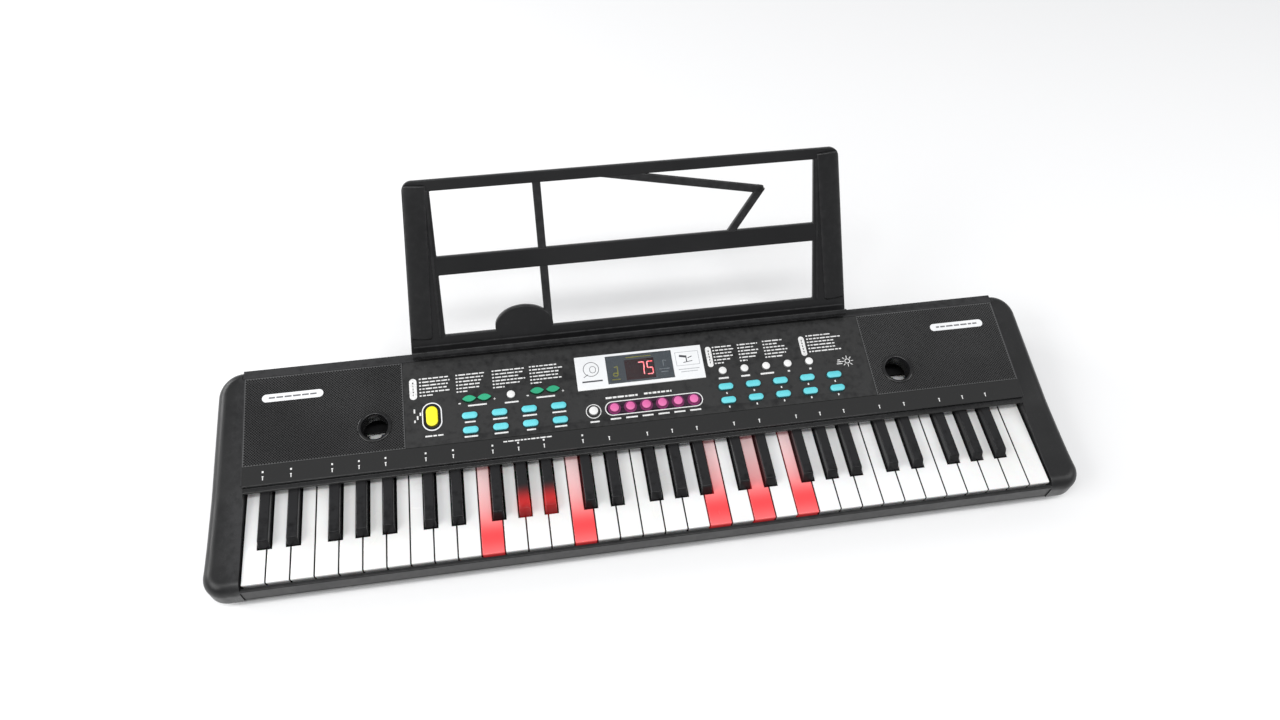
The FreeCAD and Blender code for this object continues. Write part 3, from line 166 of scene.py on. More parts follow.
def maths(tree, operation, *values):
    node = tree.nodes.new("ShaderNodeMath")
    node.operation = operation
    for entry, value in zip(node.inputs, values):
        feed(entry, value)
    return node.outputs[0]


def ramp(tree, value, low, high, to_low=0.0, to_high=1.0):
    """A smooth step from one value to another between two limits."""
    node = tree.nodes.new("ShaderNodeMapRange")
    node.interpolation_type = "SMOOTHSTEP"
    return fill(node, Value=value, From_Min=low, From_Max=high, To_Min=to_low,
                To_Max=to_high)["Result"]


def noise(tree, vector, scale, detail=3.0, roughness=0.55, distortion=0.0):
    return fill(tree.nodes.new("ShaderNodeTexNoise"), Vector=vector, Scale=scale, Detail=detail,
                Roughness=roughness, Distortion=distortion)["Fac"]


def build_grain():
    """Spark texture of a mould: fine pits over slow waves, as a height and a tone."""
    group, given, out = masks_group("mould_grain", ("Height", "Tone"), Scale=900.0, Waves=14.0)
    where = object_place(group)
    voronoi = group.nodes.new("ShaderNodeTexVoronoi")
    voronoi.feature = "SMOOTH_F1"
    pits = fill(voronoi, Vector=where, Scale=given["Scale"])["Distance"]
    fine = noise(group, where, given["Scale"], 2.0, 0.5)
    slow = noise(group, where, given["Waves"], 4.0, 0.5)
    fill(out, Height=maths(group, "MULTIPLY_ADD", pits, 0.6, fine),
         Tone=ramp(group, slow, 0.35, 0.65))
    return group


def build_rub():
    """Handling wear: a mask of convex edges broken up by noise, and one of smudges."""
    group, given, out = masks_group("handling_rub", ("Edge", "Smudge"), Reach=0.06,
                                    Smudge_Scale=22.0)
    where = object_place(group)
    edge = group.nodes.new("ShaderNodeNewGeometry").outputs["Pointiness"]
    edge = maths(group, "SUBTRACT", edge, 0.5)
    edge = maths(group, "DIVIDE", edge, given["Reach"])
    edge = maths(group, "MULTIPLY", edge, noise(group, where, 160.0))
    smudge = noise(group, where, given["Smudge Scale"], 5.0, 0.5, 0.6)
    fill(out, Edge=ramp(group, edge, 0.12, 0.6), Smudge=ramp(group, smudge, 0.48, 0.72))
    return group


def build_dust():
    """Settled dust: on faces that look up, in scattered specks and a thin film."""
    group, given, out = masks_group("settled_dust", ("Mask",), Amount=0.3)
    where = object_place(group)
    up = ramp(group, facing(group)["Z"], 0.55, 1.0)
    specks = ramp(group, noise(group, where, 1400.0, 1.0), 0.68, 0.74)
    film = ramp(group, noise(group, where, 9.0, 5.0), 0.42, 0.75, 0.0, 0.07)
    both = maths(group, "MAXIMUM", specks, film)
    both = maths(group, "MULTIPLY", both, up)
    fill(out, Mask=maths(group, "MULTIPLY", both, given["Amount"]))
    return group


GRAIN, RUB, DUST = build_grain(), build_rub(), build_dust()


def mix_colour(tree, mask, first, second):
    node = tree.nodes.new("ShaderNodeMix")
    node.data_type = "RGBA"
    for number, value in ((0, mask), (6, first), (7, second)):
        feed(node.inputs[number], value)
    return node.outputs[2]


def placed_group(tree, group, **values):
    node = tree.nodes.new("ShaderNodeGroup")
    node.node_tree = group
    return fill(node, **values)


def plastic(name, dark, light, worn, rough, grain=900.0, bump=0.08, edge=0.06, dust=0.25,
            coat=0.0, level=0.5):
    """Moulded plastic: two tones, grain in height and gloss, rubbed edges, smudges, dust."""
    finish, tree, shader = new_finish(name)
    mould = placed_group(tree, GRAIN, Scale=grain)
    rub = placed_group(tree, RUB, Reach=edge)
    settled = placed_group(tree, DUST, Amount=dust)["Mask"]
    colour = mix_colour(tree, mould["Tone"], dark, light)
    colour = mix_colour(tree, rub["Edge"], colour, worn)
    colour = mix_colour(tree, settled, colour, (0.24, 0.235, 0.22))
    gloss = maths(tree, "MULTIPLY_ADD", mould["Tone"], 0.06, rough)
    for mask, change in ((rub["Smudge"], -0.07), (rub["Edge"], -0.1), (settled, 0.3)):
        gloss = maths(tree, "MULTIPLY_ADD", mask, change, gloss)
    fill(shader, Base_Color=colour, Roughness=gloss, Coat_Weight=coat, Coat_Roughness=0.08,
         Specular_IOR_Level=level, Normal=dents(tree, mould["Height"], bump, 0.0003))
    return finish


def dress(finish, *nodes):
    """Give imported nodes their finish."""
    for node in nodes:
        slots = frame["nodes"][node].data.materials
        slots.clear()
        slots.append(finish)


tray_grey = plastic("tray_grey", (0.11, 0.11, 0.115), (0.135, 0.135, 0.14), (0.25, 0.25, 0.25),
                    0.48, grain=1100.0, bump=0.12)
dress(tray_grey, "bottom_case")

# ---- feet, door and screws under the tray ---------------------------------------------------
# Six glued rubber discs with rounded rims, a snap-on battery door with finger ribs, and
# plated self-tapping screws sunk in their posts.

NEAR = 0.001        # two places closer than this, in millimetres, are one


def keep_piece(name, form, finishes, body, nodes):
    """Make a form an object, and tie it to its body and CAD nodes."""
    mesh = bpy.data.meshes.new(name)
    form.to_mesh(mesh)
    form.free()
    for finish in finishes:
        mesh.materials.append(finish)
    piece = bpy.data.objects.new(name, mesh)
    bpy.context.scene.collection.objects.link(piece)
    if nodes:
        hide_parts(*nodes)
    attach(piece, body)
    return piece


def finish_piece(name, form, finishes, body, nodes=(), place=None, sharp=38.0):
    """Close a form's seams, turn its faces out, and make it a smoothed piece."""
    if place is not None:
        bmesh.ops.transform(form, matrix=place, verts=form.verts)
    bmesh.ops.remove_doubles(form, verts=form.verts, dist=NEAR * MM)
    bmesh.ops.recalc_face_normals(form, faces=form.faces)
    piece = keep_piece(name, form, finishes, body, nodes)
    piece.data.shade_smooth()
    piece.data.set_sharp_from_angle(angle=math.radians(sharp))
    piece.modifiers.new("flat_faces", "WEIGHTED_NORMAL").keep_sharp = True


def painted(form, before, tone):
    """Set the material number of every face that isn't in an earlier set of faces."""
    for face in form.faces:
        if face not in before:
            face.material_index = tone


def edges_at(corners):
    """Every edge that ends at one of the corners, each once."""
    return list(dict.fromkeys(edge for corner in corners for edge in corner.link_edges))


def run_along(edge, axis):
    """How far an edge runs along an axis, in millimetres."""
    return abs(edge.verts[0].co[axis] - edge.verts[1].co[axis]) / MM


def round_edges(form, edges, radius, steps, clamp=False):
    """Round edges over by a radius in millimetres."""
    bmesh.ops.bevel(form, geom=edges, offset=radius * MM, segments=steps, affect="EDGES",
                    profile=0.5, material=-1, clamp_overlap=clamp)


def slab(form, low, high, round_off=0.0, steps=2, tone=0, turn=Matrix()):
    """A block between two corners in millimetres, its edges rounded over."""
    before = set(form.faces)
    low, high = Vector(low) * MM, Vector(high) * MM
    corners = bmesh.ops.create_cube(form, size=1.0)["verts"]
    shape = turn @ Matrix.LocRotScale((low + high) / 2, None, high - low)
    bmesh.ops.transform(form, matrix=shape, verts=corners)
    if round_off:
        round_edges(form, edges_at(corners), round_off, steps, clamp=True)
    painted(form, before, tone)


def disc(form, centre, radius, high, round_off):
    """A round plug standing on the table, its rims rounded over."""
    made = bmesh.ops.create_cone(form, cap_ends=True, segments=40, radius1=radius * MM,
                                 radius2=radius * MM, depth=high * MM)["verts"]
    rims = [edge for edge in edges_at(made) if run_along(edge, 2) < NEAR]
    bmesh.ops.translate(form, vec=Vector((*centre, high / 2)) * MM, verts=made)
    round_edges(form, rims, round_off, 2, clamp=True)


rubber = plastic("foot_rubber", (0.018, 0.018, 0.018), (0.03, 0.03, 0.03), (0.06, 0.06, 0.06),
                 0.78, grain=700.0, bump=0.2, level=0.3)


def feet():
    form = bmesh.new()
    low, high = (Vector(corner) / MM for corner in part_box("rubber_feet"))
    radius, thick, front_half, back_half = 8.0, 2.0, 340.0, 335.0
    front, back = low.y + radius + 10.0, high.y - radius
    for spot in ((-front_half, front), (0, front - 10), (front_half, front), (-back_half, back),
                 (0, back), (back_half, back)):
        disc(form, spot, radius, thick, 0.5)
    finish_piece("rubber_feet_dished", form, [rubber], "case", ["rubber_feet"])


def battery_door():
    form = bmesh.new()
    low, high = (Vector(corner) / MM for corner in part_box("battery_door"))
    slab(form, low, high, 0.3)
    middle = (low + high) / 2
    rib_wide, rib_pitch, rib_long, rib_proud = 1.2, 2.2, 14.0, 0.45
    for step in range(7):
        x = high.x - 9.0 - rib_pitch * step
        slab(form, (x - rib_wide / 2, middle.y - rib_long / 2, low.z - rib_proud),
             (x + rib_wide / 2, middle.y + rib_long / 2, low.z + 0.3), 0.25)
    finish_piece("battery_door_ribbed", form, [tray_grey], "battery_door",
                 ["battery_door"])


feet()
battery_door()


def steel_finish(name, tint, rough):
    """Plated steel with drawn streaks in its gloss."""
    finish, tree, shader = new_finish(name)
    drawn = fill(tree.nodes.new("ShaderNodeMapping"), Vector=object_place(tree),
                 Scale=(1.0, 9.0, 1.0))["Vector"]
    streaks = noise(tree, drawn, 420.0, 4.0)
    shade = tuple(channel * 0.8 for channel in tint)
    fill(shader, Base_Color=mix_colour(tree, streaks, shade, tint), Metallic=1.0,
         Roughness=ramp(tree, streaks, 0.3, 0.7, rough - 0.08, rough + 0.1))
    return finish


dress(steel_finish("plated_steel", (0.66, 0.65, 0.62), 0.3), "case_screws", "battery_contacts",
      "power_inlet")

# ---- upper case ---------------------------------------------------------------------------
# Black ABS mouldings: two smooth end cheeks that slope down beside the keys and roll over at
# the front, a low rail before the keys, and behind them the deck and rear wall.

case_black = plastic("case_black", (0.007, 0.007, 0.0075), (0.0095, 0.0095, 0.010),
                     (0.030, 0.030, 0.031), 0.36, grain=1300.0, bump=0.05, edge=0.08, dust=0.1,
                     level=0.34)
case_low, case_high = (Vector(corner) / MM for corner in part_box("left_cheek"))
CASE_FRONT, CASE_REAR, SPLIT = case_low.y, case_high.y, case_low.z
FRONT_MM, TOP_MM = KEY_FRONT / MM, KEY_TOP / MM
KEYS_HALF = 361.2
CHEEK_FRONT_HALF, CHEEK_REAR_HALF = 393.6, 384.4
CHEEK_INSIDE = KEYS_HALF - 0.3
FRONT_CORNER, REAR_CORNER, CHEEK_ROLL = 20.0, 22.0, 10.5
NOSE, KNEE = 20.5, 82.5


def cheek_top(y):
    """Height of a cheek at a place along its side: level nose, knee, then a slope to the rear."""
    from_keys, back = y - FRONT_MM, CASE_REAR - FRONT_MM
    low, middle = TOP_MM + 2.5, TOP_MM + 9.0
    if from_keys < KNEE:
        share = max(0.0, (from_keys - NOSE) / (KNEE - NOSE))
        return low + (middle - low) * share ** 1.25
    share = min(1.0, (from_keys - KNEE) / (back - KNEE))
    return middle + (case_high.z - middle) * share


def pull(form, faces, way):
    """Extrude faces by a step in millimetres, and give the far corners and the first far face."""
    raised = bmesh.ops.extrude_face_region(form, geom=faces)["geom"]
    far = [item for item in raised if isinstance(item, bmesh.types.BMVert)]
    bmesh.ops.translate(form, vec=Vector(way) * MM, verts=far)
    return far, next(item for item in raised if isinstance(item, bmesh.types.BMFace))


def cut(form, place, direction, **clear):
    """Cut a whole form along a plane through a place in millimetres."""
    bmesh.ops.bisect_plane(form, geom=form.verts[:] + form.edges[:] + form.faces[:],
                           plane_co=Vector(place) * MM, plane_no=direction, **clear)


def cheek(side):
    """A tapered block, cut where its top bends, raised to that top, and rolled over."""
    form = bmesh.new()
    plan = [(CHEEK_INSIDE, CASE_FRONT), (CHEEK_FRONT_HALF, CASE_FRONT),
            (CHEEK_REAR_HALF, CASE_REAR), (CHEEK_INSIDE, CASE_REAR)]
    corners = [form.verts.new(Vector((side * x, y, SPLIT)) * MM) for x, y in plan]
    block_high = 40
    pull(form, [form.faces.new(corners)], (0, 0, block_high))
    for radius, y in ((FRONT_CORNER, CASE_FRONT), (REAR_CORNER, CASE_REAR)):
        upright = [edge for edge in form.edges if run_along(edge, 0) < NEAR
                   and all(abs(corner.co.y / MM - y) < NEAR for corner in edge.verts)
                   and abs(edge.verts[0].co.x) > (KEYS_HALF + 5) * MM]
        round_edges(form, upright, radius, 12)
    for station in (NOSE, 30, 40, 50, 60, 70, KNEE):
        cut(form, (0, FRONT_MM + station, 0), (0, 1, 0))
    crown = {corner for corner in form.verts if corner.co.z > (SPLIT + block_high / 2) * MM}
    for corner in crown:
        corner.co.z = cheek_top(corner.co.y / MM) * MM
    rim = [edge for edge in form.edges if all(corner in crown for corner in edge.verts)
           and any(abs(face.normal.z) < 0.3 for face in edge.link_faces)
           and any(abs(corner.co.x) > KEYS_HALF * MM for corner in edge.verts)]
    round_edges(form, rim, CHEEK_ROLL, 8)
    inner = [edge for edge in form.edges if all(
                 abs(abs(corner.co.x) / MM - CHEEK_INSIDE) < NEAR
                 and corner.co.z > (SPLIT + 4) * MM for corner in edge.verts)
             and any(face.normal.z > 0.5 for face in edge.link_faces)]
    round_edges(form, inner, 0.8, 3)
    return form


def upper_case():
    dress(case_black, "top_case")
    for side, name in ((-1, "left_cheek"), (1, "right_cheek")):
        finish_piece(f"{name}_rounded", cheek(side), [case_black], "case", [name],
                     sharp=42)
    form = bmesh.new()
    reach = KEYS_HALF + 0.2
    slab(form, (-reach, CASE_FRONT + 0.9, SPLIT), (reach, FRONT_MM - 1.3, TOP_MM - 2.2), 1.1,
         steps=4)
    finish_piece("front_rail_rounded", form, [case_black], "case",
                 ["front_rail"])


upper_case()

# ---- inside the case ----------------------------------------------------------------------
# Printed boards with green solder mask, a grey chassis, pressed felt and a silicone contact
# strip. They hardly show, but each carries its own finish.


def board_finish():
    """Solder mask over a grid of copper tracks and pads."""
    finish, tree, shader = new_finish("solder_mask")
    where = object_place(tree)
    tracks = fill(tree.nodes.new("ShaderNodeTexBrick"), Vector=where, Scale=160.0,
                  Color1=(0.01, 0.12, 0.045), Color2=(0.012, 0.16, 0.06),
                  Mortar=(0.05, 0.3, 0.12))
    fill(shader, Base_Color=tracks["Color"], Normal=dents(tree, tracks["Fac"], 0.3, 0.0001),
         Roughness=ramp(tree, noise(tree, where, 60.0), 0.3, 0.7, 0.25, 0.42))
    return finish


def felt_finish():
    """Pressed wool felt: matted fibres in height and tone, soft sheen."""
    finish, tree, shader = new_finish("pressed_felt")
    fibres = noise(tree, object_place(tree), 900.0, 6.0, 0.75)
    colour = mix_colour(tree, fibres, (0.16, 0.012, 0.02), (0.36, 0.04, 0.05))
    fill(shader, Base_Color=colour, Roughness=0.95, Sheen_Weight=0.5,
         Normal=dents(tree, fibres, 0.6, 0.0004))
    return finish


dress(board_finish(), "main_circuit_board", "panel_circuit_board", "key_contact_board")
dress(felt_finish(), "key_felt")
dress(plastic("chassis_grey", (0.15, 0.15, 0.155), (0.19, 0.19, 0.195), (0.3, 0.3, 0.3), 0.5),
      "key_chassis")
dress(plastic("contact_silicone", (0.3, 0.3, 0.31), (0.36, 0.36, 0.37), (0.45, 0.45, 0.45), 0.6,
              grain=500.0), "rubber_contact_strip")
dress(plastic("lamp_bodies", (0.7, 0.69, 0.64), (0.8, 0.79, 0.75), (0.9, 0.9, 0.88), 0.3),
      "key_light_strip")
dress(plastic("cable_vinyl", (0.42, 0.42, 0.44), (0.52, 0.52, 0.54), (0.6, 0.6, 0.6), 0.45),
      "ribbon_cable")
dress(plastic("socket_black", (0.014, 0.014, 0.015), (0.02, 0.02, 0.021), (0.06, 0.06, 0.06),
              0.25), "headphone_socket", "microphone_socket")
dress(plastic("speaker_paint", (0.05, 0.05, 0.055), (0.08, 0.08, 0.085), (0.2, 0.2, 0.2), 0.42),
      "left_speaker", "right_speaker")

# ---- keys ---------------------------------------------------------------------------------
# White keys are polished ABS shells with a soft edge and a thin front lip; blacks are narrower
# tapered shells with a sloping front. Three combs fit into each other in every octave. Five
# whites and two blacks glow red: lamps under them show the tune.

PITCH, GAP, SHARP_WIDE = 20.0, 0.8, 10.5
OCTAVE, WHITES = 7, 36
SHARP_SHIFT = {0: -2.0, 1: 2.0, 3: -3.0, 4: 0.0, 5: 3.0}
STEP, REACH, DEPTH, LID = 30.2, 130.0, 12.0, 3.0
SHARP_FRONT, SHARP_REAR, SHARP_RISE, SHARP_DEPTH = 31.0, 84.0, 8.5, 8.0
BAR_FRONT, BAR_REAR, BAR_THICK = 134.0, 150.0, 2.0
LIT_WHITES = (10, 14, 20, 22, 24)
LIT_SHARPS = (12, 13)


def glow(tree, where, front, bright):
    """Red light through a key: strongest over its lamp near the front, thin at the back."""
    along = maths(tree, "SUBTRACT", apart(tree, where)["Y"], front)
    wash = ramp(tree, along, 0.088, 0.0, 0.22, 0.80)
    away = maths(tree, "SUBTRACT", along, bright)
    pool = ramp(tree, maths(tree, "ABSOLUTE", away), 0.026, 0.0)
    return maths(tree, "MULTIPLY_ADD", pool, 0.2, wash)


def ivory_finish(name, lit):
    """Polished white ABS: warm and cool drifts, faint finger smudges, a clear lacquer, and
    painted shade on the sides that face the gaps.
    """
    finish, tree, shader = new_finish(name)
    where = object_place(tree)
    smudge = placed_group(tree, RUB, Reach=0.05, Smudge_Scale=30.0)["Smudge"]
    drift = ramp(tree, noise(tree, where, 11.0, 4.0), 0.35, 0.65)
    colour = mix_colour(tree, drift, (0.80, 0.80, 0.785), (0.86, 0.86, 0.86))
    colour = mix_colour(tree, maths(tree, "MULTIPLY", smudge, 0.16), colour, (0.70, 0.68, 0.64))
    if lit:
        mask = glow(tree, where, KEY_FRONT, 0.019)
        colour = mix_colour(tree, mask, colour, (0.70, 0.008, 0.014))
        fill(shader, Emission_Strength=0.3,
             Emission_Color=mix_colour(tree, mask, (0.02, 0.0, 0.0), (0.95, 0.012, 0.02)))
    # Painted shade: faces that look sideways are mixed almost to black, standing in for the
    # shadow in the narrow gaps between keys.
    painted_gap_shade = ramp(tree, maths(tree, "ABSOLUTE", facing(tree)["X"]), 0.5, 0.85, 0.0, 0.93)
    colour = mix_colour(tree, painted_gap_shade, colour, (0.03, 0.03, 0.032))
    fill(shader, Base_Color=colour, Roughness=ramp(tree, smudge, 0.0, 1.0, 0.16, 0.3),
         Normal=dents(tree, noise(tree, where, 90.0, 2.0), 0.03, 0.0005), Coat_Weight=0.35,
         Coat_Roughness=0.05, Subsurface_Weight=0.05, Subsurface_Scale=0.002)
    return finish


def ebony_finish(name, lit):
    """Satin black ABS: fine polish, rubbed shoulders; lit ones glow at the tip."""
    finish = plastic(name, (0.004, 0.004, 0.0045), (0.006, 0.006, 0.0065), (0.02, 0.02, 0.021),
                     0.22, grain=1600.0, bump=0.03, edge=0.05, dust=0.03, level=0.16)
    if lit:
        tree = finish.node_tree
        away = maths(tree, "SUBTRACT", apart(tree, object_place(tree))["Y"], KEY_FRONT + 0.041)
        spot = ramp(tree, maths(tree, "ABSOLUTE", away), 0.02, 0.0)
        spot = maths(tree, "POWER", spot, 1.6)
        fill(tree.nodes["Principled BSDF"], Emission_Strength=0.75,
             Emission_Color=mix_colour(tree, spot, (0.0, 0.0, 0.0), (0.75, 0.012, 0.012)))
    return finish


def sharp_middle(edge):
    return (edge - WHITES / 2) * PITCH + SHARP_SHIFT[(edge - 1) % OCTAVE]


def has_sharp(edge):
    return 0 < edge < WHITES - 1 and (edge - 1) % OCTAVE in SHARP_SHIFT


def white_sides(number):
    """Left and right of a white key, at its front and between its black neighbours."""
    left = (number - WHITES / 2) * PITCH + GAP / 2
    right = left + PITCH - GAP
    half = SHARP_WIDE / 2 + GAP
    rear_left = sharp_middle(number) + half if has_sharp(number) else left
    rear_right = sharp_middle(number + 1) - half if has_sharp(number + 1) else right
    return left, right, rear_left, rear_right


def rear_middle(number):
    return sum(white_sides(number)[2:]) / 2


def white_key(form, number, tone):
    left, right, rear_left, rear_right = white_sides(number)
    before = set(form.faces)
    plan = [(left, 0), (right, 0), (right, STEP)]
    if rear_right < right:
        plan.append((rear_right, STEP))
    plan += [(rear_right, REACH), (rear_left, REACH)]
    if rear_left > left:
        plan.append((rear_left, STEP))
    plan.append((left, STEP))
    corners = [form.verts.new(Vector((x, FRONT_MM + y, TOP_MM - LID)) * MM) for x, y in plan]
    top, _ = pull(form, [form.faces.new(corners)], (0, 0, LID))
    rim = [edge for edge in edges_at(top) if edge.verts[0] in top and edge.verts[1] in top]
    posts = [edge for edge in edges_at(top) if run_along(edge, 2) > LID / 2
             and edge.verts[0].co.y < (FRONT_MM + 1) * MM]
    round_edges(form, rim + posts, 0.75, 3)
    wall, low, high = 0.35, TOP_MM - DEPTH, TOP_MM - LID + 0.4
    slab(form, (left + wall, FRONT_MM + 0.7, low), (right - wall, FRONT_MM + STEP - 0.4, high),
         0.3)
    slab(form, (rear_left + wall, FRONT_MM + STEP - 1, low),
         (rear_right - wall, FRONT_MM + REACH, high), 0.3)
    painted(form, before, tone)


def black_key(form, edge, tone):
    before = set(form.faces)
    middle = sharp_middle(edge)
    left, rear = middle - SHARP_WIDE / 2, FRONT_MM + SHARP_REAR
    side_view = [(SHARP_FRONT, -SHARP_DEPTH), (SHARP_FRONT, 0.6),
                 (SHARP_FRONT + 3.5, SHARP_RISE), (SHARP_REAR, SHARP_RISE),
                 (SHARP_REAR, -SHARP_DEPTH)]
    corners = [form.verts.new(Vector((left, FRONT_MM + y, TOP_MM + z)) * MM)
               for y, z in side_view]
    other, _ = pull(form, [form.faces.new(corners)], (SHARP_WIDE, 0, 0))
    shape = corners + other
    for corner in shape:
        if corner.co.z > (TOP_MM + 5) * MM:
            corner.co.x += math.copysign(0.8 * MM, middle * MM - corner.co.x)
    rounded = [item for item in edges_at(shape)
               if max(corner.co.z for corner in item.verts) > (TOP_MM + 0.5) * MM
               and min(corner.co.y for corner in item.verts) < (rear - 1) * MM]
    round_edges(form, rounded, 1.15, 4)
    slab(form, (left, rear - 0.5, TOP_MM - SHARP_DEPTH),
         (left + SHARP_WIDE, FRONT_MM + REACH, TOP_MM - 1.5), 0.3)
    painted(form, before, tone)


def comb_bar(form, first, count, level, middles):
    """Bar behind the keys and the thin tails that lead to it."""
    left = (first - WHITES / 2) * PITCH + GAP / 2
    slab(form, (left, FRONT_MM + BAR_FRONT, level),
         (left + count * PITCH - GAP, FRONT_MM + BAR_REAR, level + BAR_THICK), 0.2)
    for middle in middles:
        slab(form, (middle - 3, FRONT_MM + REACH - 0.6, level),
             (middle + 3, FRONT_MM + BAR_FRONT + 1, level + BAR_THICK))


def make_combs():
    whites = [ivory_finish("key_ivory", False), ivory_finish("key_ivory_lit", True)]
    blacks = [ebony_finish("key_ebony", False), ebony_finish("key_ebony_lit", True)]
    for octave in range(WHITES // OCTAVE):
        first = octave * OCTAVE
        for step, (notes, places) in enumerate((("ceg", (0, 2, 4, 6)), ("dfa", (1, 3, 5)))):
            node = f"white_keys_{notes}_{octave + 1}"
            form = bmesh.new()
            for place in places:
                white_key(form, first + place, int(first + place in LIT_WHITES))
            comb_bar(form, first, OCTAVE, TOP_MM - DEPTH + 3.5 * step,
                     [rear_middle(first + place) for place in places])
            finish_piece(f"comb_{notes}_{octave + 1}", form, whites, node, [node])
        node = f"black_keys_{octave + 1}"
        form = bmesh.new()
        edges = [first + place + 1 for place in SHARP_SHIFT]
        for edge in edges:
            black_key(form, edge, int(edge in LIT_SHARPS))
        comb_bar(form, first, OCTAVE, TOP_MM - DEPTH + 7, [sharp_middle(edge) for edge in edges])
        finish_piece(f"comb_black_{octave + 1}", form, blacks, node, [node])
    form = bmesh.new()
    last = WHITES - 1
    white_key(form, last, 0)
    comb_bar(form, last, 1, TOP_MM - DEPTH, [rear_middle(last)])
    finish_piece("comb_high_c", form, whites, "white_key_high_c",
                 ["white_key_high_c"])


make_combs()

# ---- panel place --------------------------------------------------------------------------
# The control panel, grilles, strip and buttons share one tilted plane. Its tilt is the
# direction in which the buttons travel; distances up it start at the note strip's front.

press = next(joint for joint in frame["joints"] if joint["name"] == "power_button_press")
TILT = math.atan2(press["axis"][1], -press["axis"][2])
SKIN, STRIP_DEEP, SEAM, PANEL_DEEP = 1.6, 18.4, 0.4, 104.0
skin_low, skin_high = (Vector(corner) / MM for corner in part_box("control_panel"))
panel_front_y = skin_low.y - (STRIP_DEEP + SEAM) * math.cos(TILT)
panel_front_z = skin_high.z - PANEL_DEEP * math.sin(TILT)
PANEL = (Matrix.Translation(Vector((0, panel_front_y, panel_front_z)) * MM)
         @ Matrix.Rotation(TILT, 4, "X"))

# ---- note strip ---------------------------------------------------------------------------
# A glossy black strip clipped along the front of the deck. Its lip turns down over the keys'
# rear ends and shows two bright lines of light.

lip_gloss = plastic("lip_gloss", (0.004, 0.004, 0.0045), (0.006, 0.006, 0.0065),
                    (0.02, 0.02, 0.02), 0.2, grain=1500.0, bump=0.02, dust=0.06, coat=0.15,
                    level=0.3)


def note_strip():
    """The strip's side view drawn across the panel, the lip's two bends rounded over."""
    form = bmesh.new()
    half = WHITES / 2 * PITCH - SEAM
    side_view = [(STRIP_DEEP, 0), (0, 0), (0, -3.9), (-4.5, -4.3), (-4.5, -7.0), (2, -7.0),
                 (2, -SKIN), (STRIP_DEEP, -SKIN)]
    corners = [form.verts.new(Vector((-half, y, z)) * MM) for y, z in side_view]
    pull(form, [form.faces.new(corners)], (2 * half, 0, 0))
    bends = [edge for edge in edges_at((corners[1], corners[3])) if run_along(edge, 0) > half]
    round_edges(form, bends, 1.0, 4)
    finish_piece("note_strip_glossy", form, [lip_gloss], "case", ["note_strip"],
                 place=PANEL)


note_strip()

# ---- control panel ------------------------------------------------------------------------
# A printed satin skin with a hole for every button. The print is white screen ink: lists,
# captions, pills and rings as plain marks, with a sun for the lamps.

panel_skin = plastic("panel_skin", (0.006, 0.006, 0.0065), (0.008, 0.008, 0.0085),
                     (0.03, 0.03, 0.03), 0.38, grain=1900.0, bump=0.03, edge=0.1, dust=0.1,
                     level=0.32)
dress(panel_skin, "control_panel")


def ink(name, tint):
    """Screen ink: slightly uneven cover over the skin."""
    finish, tree, shader = new_finish(name)
    cover = ramp(tree, noise(tree, object_place(tree), 700.0), 0.3, 0.6)
    thin = tuple(channel * 0.72 for channel in tint)
    fill(shader, Base_Color=mix_colour(tree, cover, thin, tint),
         Roughness=ramp(tree, cover, 0.0, 1.0, 0.6, 0.45))
    return finish


INK_LOW, INK_HIGH = -0.02, 0.05


def mark(form, x, up, wide, deep, tone=0, angle=0.0):
    """One printed bar, centred at a place on the panel."""
    turn = (Matrix.Translation(Vector((x, up, 0)) * MM)
            @ Matrix.Rotation(math.radians(angle), 4, "Z"))
    slab(form, (-wide / 2, -deep / 2, INK_LOW), (wide / 2, deep / 2, INK_HIGH), tone=tone,
         turn=turn)


def loop_of(form, places):
    """Corners at places, joined in a closed loop of edges."""
    corners = [form.verts.new(place) for place in places]
    return corners + [form.edges.new((corner, corners[(number + 1) % len(corners)]))
                      for number, corner in enumerate(corners)]


def spin_round(form, outline, centre, steps):
    """Spin an outline once round an upright axis."""
    bmesh.ops.spin(form, geom=outline, cent=centre, axis=(0, 0, 1), dvec=(0, 0, 0),
                   angle=math.tau, steps=steps, use_merge=True)


def hoop(form, reach, rise, x, up, line, low, high, tone=0, segments=48, round_off=0.0):
    """A closed round-ended ring: a spun square section, stretched to an outline."""
    faces_before, corners_before = set(form.faces), set(form.verts)
    inside, outside = 1.0, 2.0
    section = [(outside, 0, low * MM), (outside, 0, high * MM), (inside, 0, high * MM),
               (inside, 0, low * MM)]
    spin_round(form, loop_of(form, section), (0, 0, 0), segments)
    upper_rims = {inside: [], outside: []}
    for corner in [corner for corner in form.verts if corner not in corners_before]:
        ring = outside if corner.co.xy.length > (inside + outside) / 2 else inside
        upper = corner.co.z > (low + high) / 2 * MM
        if upper:
            upper_rims[ring].append(corner)
        corner.co.xy = corner.co.xy.normalized()
        inset = line if ring == inside else 0.0
        stretch_round([corner], reach - inset, rise - inset, x, up, high if upper else low)
    if round_off:
        rims = [edge for rim in upper_rims.values() for edge in edges_at(rim)
                if edge.verts[0] in rim and edge.verts[1] in rim]
        round_edges(form, rims, round_off, 2)
    painted(form, faces_before, tone)


def stretch_round(corners, reach, rise, x, up, height):
    """Turn a unit circle into a round-ended slot of the half sizes given."""
    radius = min(reach, rise)
    for corner in corners:
        move_x = math.copysign(reach - radius, corner.co.x)
        move_y = math.copysign(rise - radius, corner.co.y)
        corner.co = Vector((corner.co.x * radius + move_x + x,
                            corner.co.y * radius + move_y + up, height)) * MM


def word_row(form, chooser, x, up, long, deep=1.35):
    """A row of word-long bars, as a list entry seems from arm's length."""
    at = 0.0
    while at < long - 1.0:
        word = min(chooser.uniform(2.0, 6.5), long - at)
        mark(form, x + at + word / 2, up, word, deep * chooser.uniform(0.85, 1.0))
        at += word + 0.9


